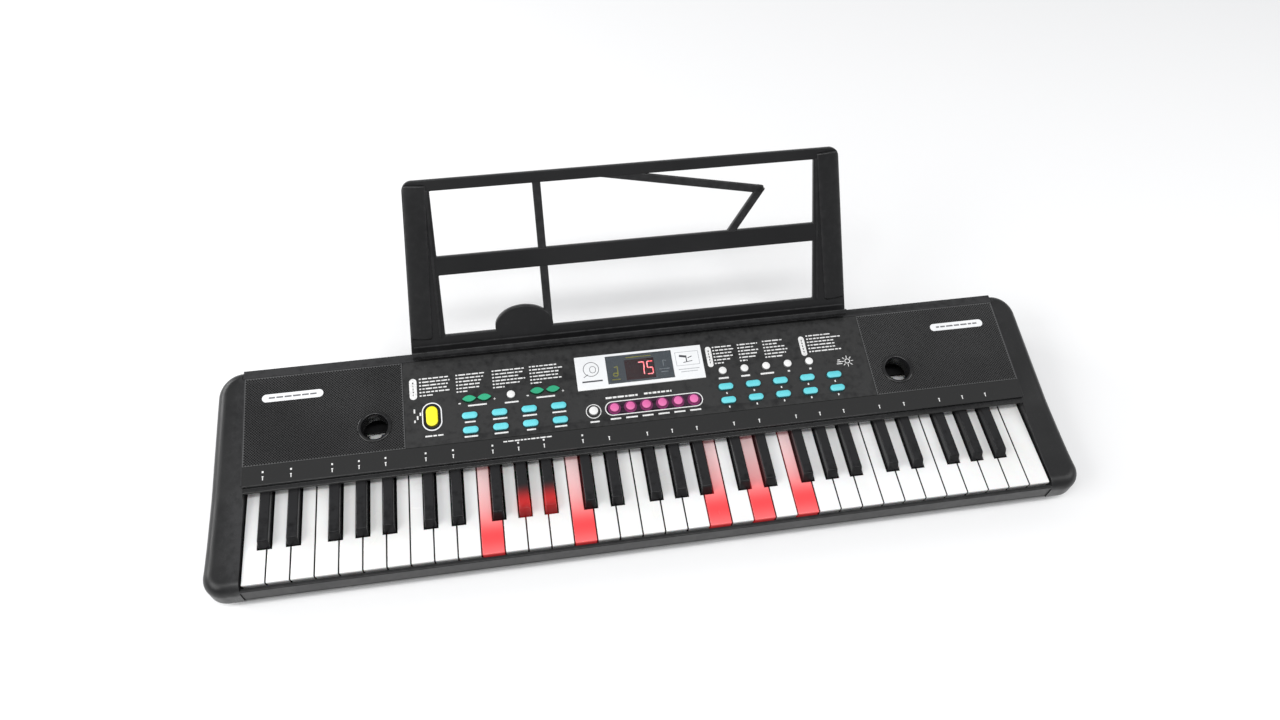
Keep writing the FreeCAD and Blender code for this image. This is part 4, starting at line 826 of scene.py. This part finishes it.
def field(form, reach, rise, x, up, high, tone):
    """A round-ended patch of solid ink."""
    before = set(form.faces)
    ring = bmesh.ops.create_circle(form, cap_ends=True, radius=1.0, segments=24)["verts"]
    stretch_round(ring, reach, rise, x, up, INK_LOW)
    pull(form, [ring[0].link_faces[0]], (0, 0, high - INK_LOW))
    painted(form, before, tone)


# Each list: its left edge, its first row up the panel, its shortest and its longest row.
LISTS = [(-204.5, 85.6, 24, 30), (-171.2, 85.6, 21, 28), (-137.8, 86.0, 22, 32),
         (-103.2, 86.4, 20, 31), (71.5, 86.4, 15, 21), (96.0, 86.4, 15, 22),
         (121.0, 87.2, 14, 25), (164.5, 88.0, 19, 34)]
# Each pill beside a list: its middle across and up the panel, and its half sizes.
PILLS = [(-210.1, 76.1, 3.4, 10.6), (67.4, 76.9, 2.8, 10.8), (159.5, 77.7, 2.8, 10.5)]


def print_lists(form):
    chooser = random.Random(61)
    for x, up, short, long in LISTS:
        for row in range(6):
            limit = chooser.uniform(short, long) * (0.45 if row == 5 and x < 120 else 1.0)
            mark(form, x + 0.9, up - 3.4 * row, 1.7, 1.35)
            word_row(form, chooser, x + 2.8, up - 3.4 * row, limit - 2.8)
    for x, up, reach, rise in PILLS:
        field(form, reach, rise, x, up, INK_HIGH, 0)
        for step in range(5):
            mark(form, x, up - 6 + 3 * step, 1.1, 1.9, 1)


# Each row: its first cap across the panel, pitch, count, place up the panel, and cap shape.
BUTTON_ROWS = {
    "left_upper_buttons": (-160.8, 26.96, 4, 43.4, "slot"),
    "left_lower_buttons": (-160.8, 26.96, 4, 29.2, "slot"),
    "right_upper_buttons": (77.2, 26.3, 5, 43.9, "slot"),
    "right_lower_buttons": (77.2, 26.3, 5, 30.0, "slot"),
    "sound_buttons": (77.2, 21.1, 5, 60.6, "disc"),
    "drum_buttons": (-29.4, 14.9, 6, 35.05, "dot"),
    "volume_buttons": (-160.1, 13.8, 2, 60.1, "leaf"),
    "tempo_buttons": (-98.0, 14.7, 2, 60.8, "leaf"),
    "stop_button": (-122.1, 0.0, 1, 59.9, "disc"),
    "demo_button": (-48.8, 0.0, 1, 34.3, "dot"),
    "power_button": (-194.4, 0.0, 1, 46.7, "upright"),
}


def row_places(name):
    """Where a row's buttons stand: their places across, and the row's place up the panel."""
    first, pitch, count, up, _ = BUTTON_ROWS[name]
    return [first + pitch * number for number in range(count)], up


def print_captions(form):
    chooser = random.Random(36)
    for name in ("left_upper_buttons", "left_lower_buttons"):
        places, up = row_places(name)
        for x in places:
            mark(form, x, up - 5.7, chooser.uniform(8, 13), 1.5)
    for name in ("right_upper_buttons", "right_lower_buttons"):
        places, up = row_places(name)
        for x in places:
            mark(form, x, up - 6.2, 1.3, 1.9)
    places, up = row_places("sound_buttons")
    for x, wide in zip(places, (9.5, 8.5, 13.0, 2.2, 2.0)):
        mark(form, x, up - 7.2, wide, 1.7)
    places, up = row_places("drum_buttons")
    for x in places:
        mark(form, x, up - 10.4, chooser.uniform(9, 11.5), 1.5)
    middle = (places[0] + places[-1]) / 2
    field(form, 45.5, 6.8, middle, up, 0.0, 3)
    for x in places:
        field(form, 5.9, 5.9, x, up, 0.03, 2)
    hoop(form, 45.9, 7.2, middle, up, 0.9, INK_LOW, INK_HIGH, segments=64)
    word_row(form, chooser, middle - 44, up + 11.0, 30, 1.9)
    word_row(form, chooser, middle - 8, up + 11.4, 26, 1.9)
    (x,), up = row_places("demo_button")
    hoop(form, 7.1, 7.1, x, up, 0.75, INK_LOW, INK_HIGH)
    mark(form, x, up - 10.4, 8.5, 1.5)
    for name in ("volume_buttons", "tempo_buttons"):
        (less, more), up = row_places(name)
        mark(form, less - 9.0, up - 3.4, 2.0, 1.2)
        mark(form, (less + more) / 2, up - 6.4, 17, 1.5)
        mark(form, more + 9.0, up - 2.2, 2.0, 0.6)
        mark(form, more + 9.0, up - 2.2, 0.6, 2.0)
    (x,), up = row_places("stop_button")
    mark(form, x, up - 7.2, 12.5, 1.5)
    (x,), up = row_places("power_button")
    for step, long in enumerate((6, 9, 8, 10)):
        mark(form, x - 15.5 + 2.6 * (step % 3), up - 3 + 3.4 * step, 1.4, long * 0.4)
    word_row(form, chooser, x - 7, up - 18.6, 16, 1.5)


def print_sun(form):
    """Lamp symbol: a small sun with eight rays beside three level bars."""
    x, up = 199.0, 57.0
    hoop(form, 2.6, 2.6, x, up, 0.7, INK_LOW, INK_HIGH, segments=24)
    for step in range(8):
        angle = math.pi / 4 * step
        mark(form, x + 4.6 * math.cos(angle), up + 4.6 * math.sin(angle), 2.4, 0.7,
             angle=math.degrees(angle))
    for step in range(3):
        mark(form, x - 8.0, up - 2.0 + 2.0 * step, 5.5 - 1.5 * step, 0.9)


def print_strip(form):
    """Note marks over the black keys, doubled at the bass end."""
    for edge in range(1, WHITES - 1):
        if not has_sharp(edge):
            continue
        x = sharp_middle(edge)
        mark(form, x, 6.0, 0.8, 2.6)
        mark(form, x, 7.9, 1.5, 0.9)
        if x < -60:
            mark(form, x, 12.2, 1.5, 1.7)
    word_row(form, random.Random(7), -133.0, 14.6, 44, 1.3)


def print_panel():
    white = ink("screen_ink_white", (0.80, 0.80, 0.79))
    black = ink("screen_ink_black", (0.03, 0.03, 0.03))
    form = bmesh.new()
    print_lists(form)
    print_captions(form)
    print_sun(form)
    print_strip(form)
    pink = ink("screen_ink_pink", (0.20, 0.012, 0.11))
    purple = ink("screen_ink_purple", (0.035, 0.006, 0.028))
    finish_piece("panel_print", form, [white, black, pink, purple], "case",
                 place=PANEL)


print_panel()

# ---- speaker grilles ------------------------------------------------------------------------
# Thin sheet metal pressed full of small diamond holes, painted black, laid in the deck on
# each side of the panel with a hole for the bass port.

grille_paint = plastic("grille_paint", (0.062, 0.062, 0.063), (0.078, 0.078, 0.079),
                       (0.05, 0.05, 0.05), 0.34, grain=2200.0, bump=0.05, edge=0.2, dust=0.08)
# Painted shade: a near-black finish for the floor of every sunk cell, where a real hole would
# show the dark inside the case.
painted_hole_shade = plastic("grille_hole_painted_shade", (0.003, 0.003, 0.003), (0.005, 0.005, 0.005),
                    (0.01, 0.01, 0.01), 0.8, dust=0.0, level=0.2)
PORT_SIDE, PORT_BACK, PORT_FLANGE, PORT_BORE = 245.6, 43.3, 15.0, 11.5
CENTRE_HALF = 218.8


def grille(side):
    """Diamond-cut sheet: a turned grid, trimmed, each cell sunk in its middle, with painted shade
    on the sunk floor.
    """
    near, far = CENTRE_HALF + SEAM, WHITES / 2 * PITCH - SEAM
    front, rear = STRIP_DEEP + SEAM, PANEL_DEEP
    left, right = sorted((near * side, far * side))
    cell, margin = 1.75, 0.9
    middle = Vector(((left + right) / 2, (front + rear) / 2, 0)) * MM
    span = math.hypot(far - near, rear - front) / 2 + cell
    count = int(2 * span / cell)
    form = bmesh.new()
    turn = Matrix.Translation(middle) @ Matrix.Rotation(math.radians(45), 4, "Z")
    bmesh.ops.create_grid(form, x_segments=count, y_segments=count, size=span * MM, matrix=turn)
    for place, direction in (((left, 0, 0), (-1, 0, 0)), ((right, 0, 0), (1, 0, 0)),
                             ((0, front, 0), (0, -1, 0)), ((0, rear, 0), (0, 1, 0))):
        cut(form, place, direction, clear_outer=True)
    port = Vector((side * PORT_SIDE, PORT_BACK, 0)) * MM
    gone = [face for face in form.faces if (face.calc_center_median() - port).length
            < (PORT_FLANGE - 1.8) * MM]
    bmesh.ops.delete(form, geom=gone, context="FACES")
    whole = [face for face in form.faces if len(face.verts) == 4
             and face.calc_area() > 0.9 * (cell * MM) ** 2
             and left + margin < face.calc_center_median().x / MM < right - margin
             and front + margin < face.calc_center_median().y / MM < rear - margin]
    # The sunk middles take the near-black second finish as painted shade in place of open holes.
    bmesh.ops.inset_individual(form, faces=whole, thickness=0.42 * MM, depth=-0.5 * MM)
    for face in whole:
        face.material_index = 1
    border = [edge for edge in form.edges if edge.is_boundary]
    skirt = bmesh.ops.extrude_edge_only(form, edges=border)["geom"]
    bmesh.ops.translate(form, vec=(0, 0, -SKIN * MM),
                        verts=[item for item in skirt if isinstance(item, bmesh.types.BMVert)])
    bmesh.ops.remove_doubles(form, verts=form.verts, dist=NEAR * MM)
    bmesh.ops.recalc_face_normals(form, faces=form.faces)
    if next(face for face in form.faces if face.material_index == 1).normal.z < 0:
        bmesh.ops.reverse_faces(form, faces=form.faces)
    bmesh.ops.transform(form, matrix=PANEL, verts=form.verts)
    return form


for side, name in ((-1, "left"), (1, "right")):
    keep_piece(f"{name}_grille_sheet", grille(side), [grille_paint, painted_hole_shade], "case",
               [f"{name}_speaker_grille"])

# ---- bass ports -----------------------------------------------------------------------------
# A glossy moulded ring with a rounded mouth and a short tube down into the case.

port_gloss = plastic("port_gloss", (0.007, 0.007, 0.008), (0.011, 0.011, 0.012),
                     (0.02, 0.02, 0.02), 0.26, grain=1500.0, bump=0.02, dust=0.03, level=0.25)


def bass_ports():
    """Tubes and flared mouths spun from one side view."""
    form = bmesh.new()
    view = [(PORT_BORE + 1.4, -13.0), (PORT_BORE + 1.4, -0.1), (PORT_FLANGE, 0.0),
            (PORT_FLANGE - 0.15, 0.55), (PORT_FLANGE - 0.9, 0.95), (13.2, 1.05), (12.3, 0.7),
            (11.8, -0.2), (PORT_BORE, -1.6), (PORT_BORE, -13.0)]
    for side in (-1, 1):
        centre = Vector((side * PORT_SIDE, PORT_BACK, 0)) * MM
        outline = loop_of(form, [centre + Vector((x, 0, z)) * MM for x, z in view])
        spin_round(form, outline, centre, 64)
    finish_piece("port_rings", form, [port_gloss], "case", ["bass_ports"],
                 place=PANEL)


bass_ports()

# ---- badges ---------------------------------------------------------------------------------
# White rounded plates glued on the grilles, blank but for a plain line of marks.

plate_white = plastic("plate_white", (0.76, 0.77, 0.78), (0.82, 0.83, 0.84),
                      (0.88, 0.88, 0.88), 0.3, grain=1200.0, bump=0.03, dust=0.1, coat=0.2)
ink_grey = ink("badge_ink", (0.16, 0.16, 0.17))


def round_plate(form, reach, rise, x, up, low, high, round_off, steps, crown=0.0):
    """A solid round-ended plate with a softened top rim and an optional crown."""
    ring = bmesh.ops.create_circle(form, cap_ends=True, radius=1.0, segments=40)["verts"]
    stretch_round(ring, reach, rise, x, up, low)
    raise_plate(form, ring, high - low, round_off, steps, crown, min(reach, rise))


def raise_plate(form, ring, height, round_off, steps, crown=0.0, radius=0.0):
    """Raise a flat ring to a plate, round its rim, and swell its lid in three small steps."""
    before = set(form.faces)
    _, lid = pull(form, [ring[0].link_faces[0]], (0, 0, height))
    round_edges(form, list(lid.edges), round_off, steps)
    if crown:
        lids = [face for face in form.faces if face not in before and len(face.verts) > 8
                and face.calc_center_median().z > ring[0].co.z + height * MM / 2]
        for share in (0.3, 0.45, 0.5):
            bmesh.ops.inset_region(form, faces=lids, thickness=radius * share * 0.5 * MM,
                                   depth=crown * 0.4 * MM)


def badges():
    form = bmesh.new()
    chooser = random.Random(5)
    up, thick, printed = 82.5, 0.6, 0.63
    for x in (-317.0, 317.0):
        round_plate(form, 27.0, 3.9, x, up, 0.0, thick, 0.2, steps=3)
        at = -21.0
        while at < 19.0:
            word = chooser.uniform(3.0, 7.0)
            slab(form, (x + at, up - 0.8, thick - 0.05),
                 (x + min(at + word, 21.0), up + 0.8, printed), tone=1)
            at += word + 1.2
    finish_piece("badge_plates", form, [plate_white, ink_grey], "case",
                 ["grille_badges"], place=PANEL)


badges()

# ---- display --------------------------------------------------------------------------------
# A white bezel glued on the panel, a slate-coloured card behind a clear window, and a two-
# digit red module. Simple line marks fill the bezel's ends.

BEZEL_ACROSS, BEZEL_UP = (-60.45, -31.55, 31.55, 60.45), (55.8, 59.4, 88.1, 90.4)
BEZEL_THICK = 1.2
WINDOW_MIDDLE = 73.75


def bezel():
    """A frame from a three-by-three sheet, its middle cell taken out for the window."""
    form = bmesh.new()
    bmesh.ops.create_grid(form, x_segments=3, y_segments=3, size=1.0)
    for corner in form.verts:
        column, row = round((corner.co.x + 1) * 1.5), round((corner.co.y + 1) * 1.5)
        corner.co = Vector((BEZEL_ACROSS[column], BEZEL_UP[row], 0.0)) * MM
    hole = [face for face in form.faces if abs(face.calc_center_median().x) < 0.001
            and BEZEL_UP[1] < face.calc_center_median().y / MM < BEZEL_UP[2]]
    bmesh.ops.delete(form, geom=hole, context="FACES")
    top, _ = pull(form, form.faces[:], (0, 0, BEZEL_THICK))
    form.normal_update()
    rim = [edge for edge in edges_at(top) if edge.verts[0] in top and edge.verts[1] in top
           and any(abs(face.normal.z) < 0.1 for face in edge.link_faces)]
    round_edges(form, rim, 0.35, 3)
    return form


def bezel_marks(form):
    """Line marks on the bezel: a round listener at one end, a framed score at the other."""
    hoop(form, 7.5, 7.5, -46.0, 76.5, 0.55, INK_LOW, INK_HIGH, segments=32)
    hoop(form, 3.0, 3.6, -44.5, 76.0, 0.5, INK_LOW, INK_HIGH, segments=24)
    mark(form, -51.6, 70.0, 5.0, 0.6, angle=35)
    mark(form, -46.0, 64.0, 19.0, 1.5)
    for x, up, wide, deep in ((46, 84.5, 22, 0.5), (46, 70.5, 22, 0.5), (35, 77.5, 0.5, 14),
                              (57, 77.5, 0.5, 14)):
        mark(form, x, up, wide, deep, 1)
    mark(form, 42.0, 80.0, 7.0, 2.2, angle=-12)
    mark(form, 45.0, 77.0, 1.0, 7.0)
    mark(form, 48.5, 78.6, 4.4, 0.8, angle=20)
    mark(form, 46.0, 74.0, 9.0, 0.7, angle=8)
    for row in range(2):
        mark(form, 46.0, 66.5 - 2.6 * row, 20.0 - 4 * row, 0.8, 1)


def digit(form, figure, x, up, high, tone):
    """Seven bars of one figure, those that are lit, leaning a little to the right."""
    lit = {"7": "abc", "5": "afgcd"}[figure]
    half, line, wide = high / 2, 1.25, high * 0.4
    bars = {"a": (0, half, wide, line), "g": (0, 0, wide, line), "d": (0, -half, wide, line),
            "f": (-wide / 2, half / 2, line, half), "b": (wide / 2, half / 2, line, half),
            "e": (-wide / 2, -half / 2, line, half), "c": (wide / 2, -half / 2, line, half)}
    for name in lit:
        shift, rise, across, deep = bars[name]
        middle, level = x + shift + rise * 0.08, up + rise
        slab(form, (middle - across / 2 + 0.2, level - deep / 2 + 0.2, 0.30),
             (middle + across / 2 - 0.2, level + deep / 2 - 0.2, 0.36), tone=tone)


def lit_finish(name, tint, strength):
    """Lit diode bars: brighter core where the die sits."""
    finish, tree, shader = new_finish(name)
    core = ramp(tree, noise(tree, object_place(tree), 500.0, 1.0), 0.3, 0.7)
    pale = tuple(min(1.0, channel * 0.6 + 0.4) for channel in tint)
    fill(shader, Base_Color=tint, Emission_Color=mix_colour(tree, core, tint, pale),
         Emission_Strength=strength)
    return finish


def window_finish():
    """Clear acrylic with faint wipe marks in its gloss."""
    finish, tree, shader = new_finish("window_acrylic")
    wipes = noise(tree, object_place(tree), 40.0, 5.0)
    fill(shader, Base_Color=mix_colour(tree, wipes, (0.72, 0.76, 0.80), (0.80, 0.84, 0.87)),
         Roughness=ramp(tree, wipes, 0.3, 0.7, 0.02, 0.07), Transmission_Weight=1.0, IOR=1.46)
    return finish


def left_icons(form):
    """Amber sign beside the digits, its caption, and the line over the digits."""
    hoop(form, 2.6, 2.0, -23.5, WINDOW_MIDDLE - 5.0, 0.9, 0.14, 0.2, segments=20)
    mark(form, -21.2, WINDOW_MIDDLE - 1.0, 0.8, 8.0)
    mark(form, -22.6, WINDOW_MIDDLE + 3.0, 3.4, 0.9, angle=18)
    mark(form, -23.5, WINDOW_MIDDLE - 10.0, 8.0, 0.9)
    mark(form, 0.0, WINDOW_MIDDLE + 11.4, 24.0, 0.9)


def right_icons(form):
    """Faint unlit note and the two lines of its name."""
    mark(form, 22.6, WINDOW_MIDDLE + 2.0, 0.7, 6.0)
    mark(form, 24.4, WINDOW_MIDDLE + 4.6, 3.0, 0.7, angle=-20)
    mark(form, 22.8, WINDOW_MIDDLE - 4.0, 10.0, 0.8)
    mark(form, 22.8, WINDOW_MIDDLE - 7.0, 7.0, 0.8)


def add_marks(form, draw, lift, tone):
    """Draw marks on a piece, lift them to its face, and number their inks from a tone on."""
    faces, corners = set(form.faces), set(form.verts)
    draw(form)
    for face in form.faces:
        if face not in faces:
            face.material_index += tone
    made = [corner for corner in form.verts if corner not in corners]
    bmesh.ops.translate(form, vec=(0, 0, lift * MM), verts=made)


def make_display():
    line_ink = ink("line_ink_dark", (0.05, 0.05, 0.06))
    faint_ink = ink("line_ink_faint", (0.45, 0.46, 0.48))
    form = bezel()
    add_marks(form, bezel_marks, BEZEL_THICK, 1)
    finish_piece("display_bezel_white", form, [plate_white, line_ink, faint_ink], "case",
                 ["display_bezel"], place=PANEL)
    card = plastic("display_card", (0.075, 0.09, 0.10), (0.10, 0.115, 0.13), (0.12, 0.13, 0.14),
                   0.45, dust=0.0)
    well = plastic("digit_well", (0.035, 0.002, 0.003), (0.05, 0.004, 0.005),
                   (0.06, 0.01, 0.01), 0.3, dust=0.0)
    red = lit_finish("digit_red_lit", (1.0, 0.05, 0.06), 2.6)
    amber = ink("icon_amber", (0.62, 0.55, 0.06))
    form = bmesh.new()
    card_half, well_half, well_front, well_rear = 31.3, 14.0, -12.0, 9.0
    slab(form, (-card_half, WINDOW_MIDDLE - 14.1, 0.02), (card_half, WINDOW_MIDDLE + 14.1, 0.14))
    for low, high in ((-7.2, 0.2), (0.14, 0.26)):
        slab(form, (-well_half, WINDOW_MIDDLE + well_front, low),
             (well_half, WINDOW_MIDDLE + well_rear, high), tone=1)
    for figure, x in (("7", 1.2), ("5", 9.6)):
        digit(form, figure, x, WINDOW_MIDDLE - 1.2, 13.0, 2)
    add_marks(form, left_icons, 0.16, 3)
    add_marks(form, right_icons, 0.16, 4)
    finish_piece("digit_module", form, [card, well, red, amber, faint_ink], "case",
                 ["digit_display"], place=PANEL)
    form = bmesh.new()
    slab(form, (-31.4, BEZEL_UP[1] + 0.15, 0.5), (31.4, BEZEL_UP[2] - 0.15, 0.9), 0.12)
    finish_piece("display_window_clear", form, [window_finish()], "case",
                 ["display_window"], place=PANEL)


make_display()

# ---- buttons --------------------------------------------------------------------------------
# Soft-touch caps standing through the panel, each row on one thin web under the deck. Their
# tops are crowned and the rims rounded, with finger shine on the crowns.

CAP_HALF = {"slot": (7.15, 3.4), "disc": (3.9, 3.9), "dot": (4.3, 4.3), "leaf": (6.5, 3.3),
            "upright": (5.4, 9.8)}
WEB_LOW, WEB_THICK, CAP_RISE = -5.45, 1.0, 2.2


def cap(form, kind, x, up):
    reach, rise = CAP_HALF[kind]
    low = WEB_LOW + WEB_THICK / 2
    if kind != "leaf":
        round_plate(form, reach, rise, x, up, low, CAP_RISE, 0.7, steps=4, crown=0.5)
        return
    ring = bmesh.ops.create_circle(form, cap_ends=True, radius=1.0, segments=40)["verts"]
    for corner in ring:
        share = math.acos(max(-1.0, min(1.0, corner.co.x))) / math.pi * 2 - 1
        bulge = math.copysign(1 - share * share, corner.co.y)
        corner.co = Vector((x - share * reach, up + bulge * rise, low)) * MM
    raise_plate(form, ring, CAP_RISE - low, 0.45, 3)


def soft_touch(name, deep, pale):
    """Dyed soft plastic: skin-like grain, shine where fingers press, painted shade darker down
    its sides.
    """
    finish = plastic(name, deep, pale, tuple(min(1.0, channel * 1.1) for channel in pale), 0.42,
                     grain=1400.0, bump=0.06, edge=0.07, dust=0.05)
    tree = finish.node_tree
    shader = tree.nodes["Principled BSDF"]
    top = shader.inputs["Base Color"].links[0].from_socket
    # Painted shade: faces that turn from straight up are mixed towards a dark copy of the dye;
    # the top keeps the full colour.
    crown = ramp(tree, facing(tree)["Z"], 0.62, 0.95)
    rim = tuple(channel * 0.3 for channel in deep)
    fill(shader, Base_Color=mix_colour(tree, crown, rim, top))
    return finish


cyan = soft_touch("cap_cyan", (0.10, 0.56, 0.63), (0.14, 0.64, 0.70))
green = soft_touch("cap_green", (0.016, 0.32, 0.16), (0.026, 0.40, 0.21))
chalk = soft_touch("cap_white", (0.74, 0.74, 0.73), (0.80, 0.80, 0.79))
pink = soft_touch("cap_pink", (0.66, 0.12, 0.34), (0.74, 0.17, 0.42))
yellow = soft_touch("cap_yellow", (0.86, 0.76, 0.008), (0.93, 0.84, 0.015))
DYES = {"sound_buttons": (chalk, "button_white"), "drum_buttons": (pink, "button_pink"),
        "volume_buttons": (green, "button_green"), "tempo_buttons": (green, "button_green"),
        "stop_button": (chalk, "button_white"), "demo_button": (chalk, "button_white"),
        "power_button": (yellow, "button_yellow")}
for row in ("left_upper", "left_lower", "right_upper", "right_lower"):
    DYES[f"{row}_buttons"] = (cyan, "button_cyan")


def make_buttons():
    for node, (*_, kind) in BUTTON_ROWS.items():
        form = bmesh.new()
        reach, rise = CAP_HALF[kind]
        places, up = row_places(node)
        for x in places:
            cap(form, kind, x, up)
        slab(form, (places[0] - reach - 1.5, up - rise - 0.8, WEB_LOW),
             (places[-1] + reach + 1.5, up + rise + 0.8, WEB_LOW + WEB_THICK), 0.2)
        dye, slot = DYES[node]
        finish_piece(f"{node}_caps", form, [dye], node, [node], place=PANEL)


def power_ring():
    """White line round a black well, as moulded and painted."""
    form = bmesh.new()
    (x,), up = row_places("power_button")
    hoop(form, 9.0, 13.9, x, up, 1.1, 0.0, 0.8, round_off=0.25)
    hoop(form, 7.95, 12.85, x, up, 1.7, 0.0, 0.5, tone=1, round_off=0.15)
    finish_piece("power_ring_painted", form, [plate_white, lip_gloss], "case",
                 ["power_bezel"], place=PANEL)


make_buttons()
power_ring()

# ---- music stand ----------------------------------------------------------------------------
# A flat black moulding that plugs in behind the panel: posts with a rounded outer rib and a
# thin bead inside it, three rails, a big note shape across the windows, a ledge with a lip.

lift_joint = next(joint for joint in frame["joints"] if joint["name"] == "stand_lift")
LEAN = math.atan2(lift_joint["axis"][1], lift_joint["axis"][2])
STAND_HIGH, STAND_THICK = 161.4, 5.0
stand_high = Vector(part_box("music_stand")[1]) / MM
stand_y = stand_high.y - STAND_HIGH * math.sin(LEAN) - STAND_THICK * math.cos(LEAN)
stand_z = stand_high.z - STAND_HIGH * math.cos(LEAN)
STAND = (Matrix.Translation(Vector((0, stand_y, stand_z)) * MM)
         @ Matrix.Rotation(-LEAN, 4, "X"))
FOOT_HALF, TOP_HALF, WINDOW_FOOT, WINDOW_TOP = 209.5, 196.0, 177.0, 173.0
RAILS = (0.0, 15.4, 73.9, 91.4, STAND_HIGH - 10.0, STAND_HIGH)


def stand_frame(form):
    """Posts and rails from a five-row sheet, its windows removed, thickened and rounded."""
    bmesh.ops.create_grid(form, x_segments=3, y_segments=5, size=1.0)
    for corner in form.verts:
        column, row = round((corner.co.x + 1) * 1.5), round((corner.co.y + 1) * 2.5)
        up = RAILS[row]
        share = up / STAND_HIGH
        outer = FOOT_HALF + (TOP_HALF - FOOT_HALF) * share
        window = WINDOW_FOOT + (WINDOW_TOP - WINDOW_FOOT) * share
        corner.co = Vector(((-outer, -window, window, outer)[column], 0.0, up)) * MM
    holes = [face for face in form.faces if abs(face.calc_center_median().x) < 0.001
             and (RAILS[1] < face.calc_center_median().z / MM < RAILS[2]
                  or RAILS[3] < face.calc_center_median().z / MM < RAILS[4])]
    bmesh.ops.delete(form, geom=holes, context="FACES")
    pull(form, form.faces[:], (0, STAND_THICK, 0))
    crown = [edge for edge in form.edges if run_along(edge, 1) > 0.9 * STAND_THICK
             and edge.verts[0].co.z > (STAND_HIGH - 1) * MM
             and abs(edge.verts[0].co.x) > (TOP_HALF - 6) * MM]
    round_edges(form, crown, 8.0, 8)
    form.normal_update()
    rims = [edge for edge in form.edges if len(edge.link_faces) == 2
            and edge.link_faces[0].normal.angle(edge.link_faces[1].normal) > math.radians(50)]
    round_edges(form, rims, 0.9, 3)


def post_rib(form, side, inset_low, inset_high, half_wide, proud, high):
    """A rounded rib up a post, leaning with the post's edge."""
    start = Vector((side * (FOOT_HALF - inset_low), 0.0, 14.0)) * MM
    end = Vector((side * (TOP_HALF - inset_high), 0.0, high)) * MM
    made = bmesh.ops.create_cone(form, cap_ends=True, segments=32, radius1=1.0, radius2=1.0,
                                 depth=1.0)["verts"]
    rims = [edge for edge in edges_at(made) if run_along(edge, 2) < NEAR]
    run = end - start
    turn = Matrix.Rotation(math.atan2(run.x, run.z), 3, "Y").to_quaternion()
    size = Vector((half_wide * MM, proud * MM, run.length))
    shape = Matrix.LocRotScale((start + end) / 2, turn, size)
    bmesh.ops.transform(form, matrix=shape, verts=made)
    round_edges(form, rims, min(2.0, proud * 0.8), 3)


def motif_bar(form, start, end, wide):
    """A straight bar of the note shape between two places on the stand."""
    first, second = Vector((start[0], 0, start[1])), Vector((end[0], 0, end[1]))
    along = second - first
    turn = (Matrix.Translation((first + second) / 2 * MM)
            @ Matrix.Rotation(-math.atan2(along.z, along.x), 4, "Y"))
    half = along.length / 2 + wide * 0.3
    slab(form, (-half, 0.5, -wide / 2), (half, 4.5, wide / 2), 1.1, steps=3, turn=turn)


def note_head(form):
    """The note's head, a thick oval with a rounded rim."""
    made = bmesh.ops.create_circle(form, cap_ends=True, radius=1.0, segments=64)["verts"]
    for corner in made:
        corner.co = Vector((corner.co.x * 27.0, corner.co.y * 19.3, 0)) * MM
    top, lid = pull(form, [made[0].link_faces[0]], (0, 0, 4.6))
    turn = (Matrix.Translation(Vector((-103.0, 4.5, 18.4)) * MM)
            @ Matrix.Rotation(math.radians(90), 4, "X"))
    bmesh.ops.transform(form, matrix=turn, verts=made + top)
    round_edges(form, list(lid.edges), 1.4, 4)


def music_stand():
    form = bmesh.new()
    stand_frame(form)
    for side in (-1, 1):
        post_rib(form, side, 11.5, 10.5, 9.8, 2.6, STAND_HIGH - 3.5)
        post_rib(form, side, 28.6, 20.0, 1.3, 0.9, STAND_HIGH - 9.0)
    rail_top, bar_wide, ledge_front = STAND_HIGH - 5.0, 7.5, -8.0
    note_head(form)
    for start, end in (((-80.0, 20.0), (-80.0, rail_top)), ((-30.0, rail_top), (124.0, 127.9)),
                       ((124.0, 128.6), (93.0, 86.5))):
        motif_bar(form, start, end, bar_wide)
    ledge = FOOT_HALF - 1
    slab(form, (-ledge, ledge_front, -2.6), (ledge, 1.0, 1.0), 0.7, steps=3)
    slab(form, (-ledge, ledge_front, -2.6), (ledge, ledge_front + 2, 4.0), 0.8, steps=3)
    slab(form, (-ledge + 2, -0.9, 5.5), (ledge - 2, 1.0, 7.3), 0.6)
    for tongue in (-150.0, 150.0):
        slab(form, (tongue - 20, 1.0, -12.0), (tongue + 20, 4.0, 1.0), 0.4)
    finish_piece("music_stand_moulding", form, [case_black], "music_stand",
                 ["music_stand"], place=STAND, sharp=40)


music_stand()
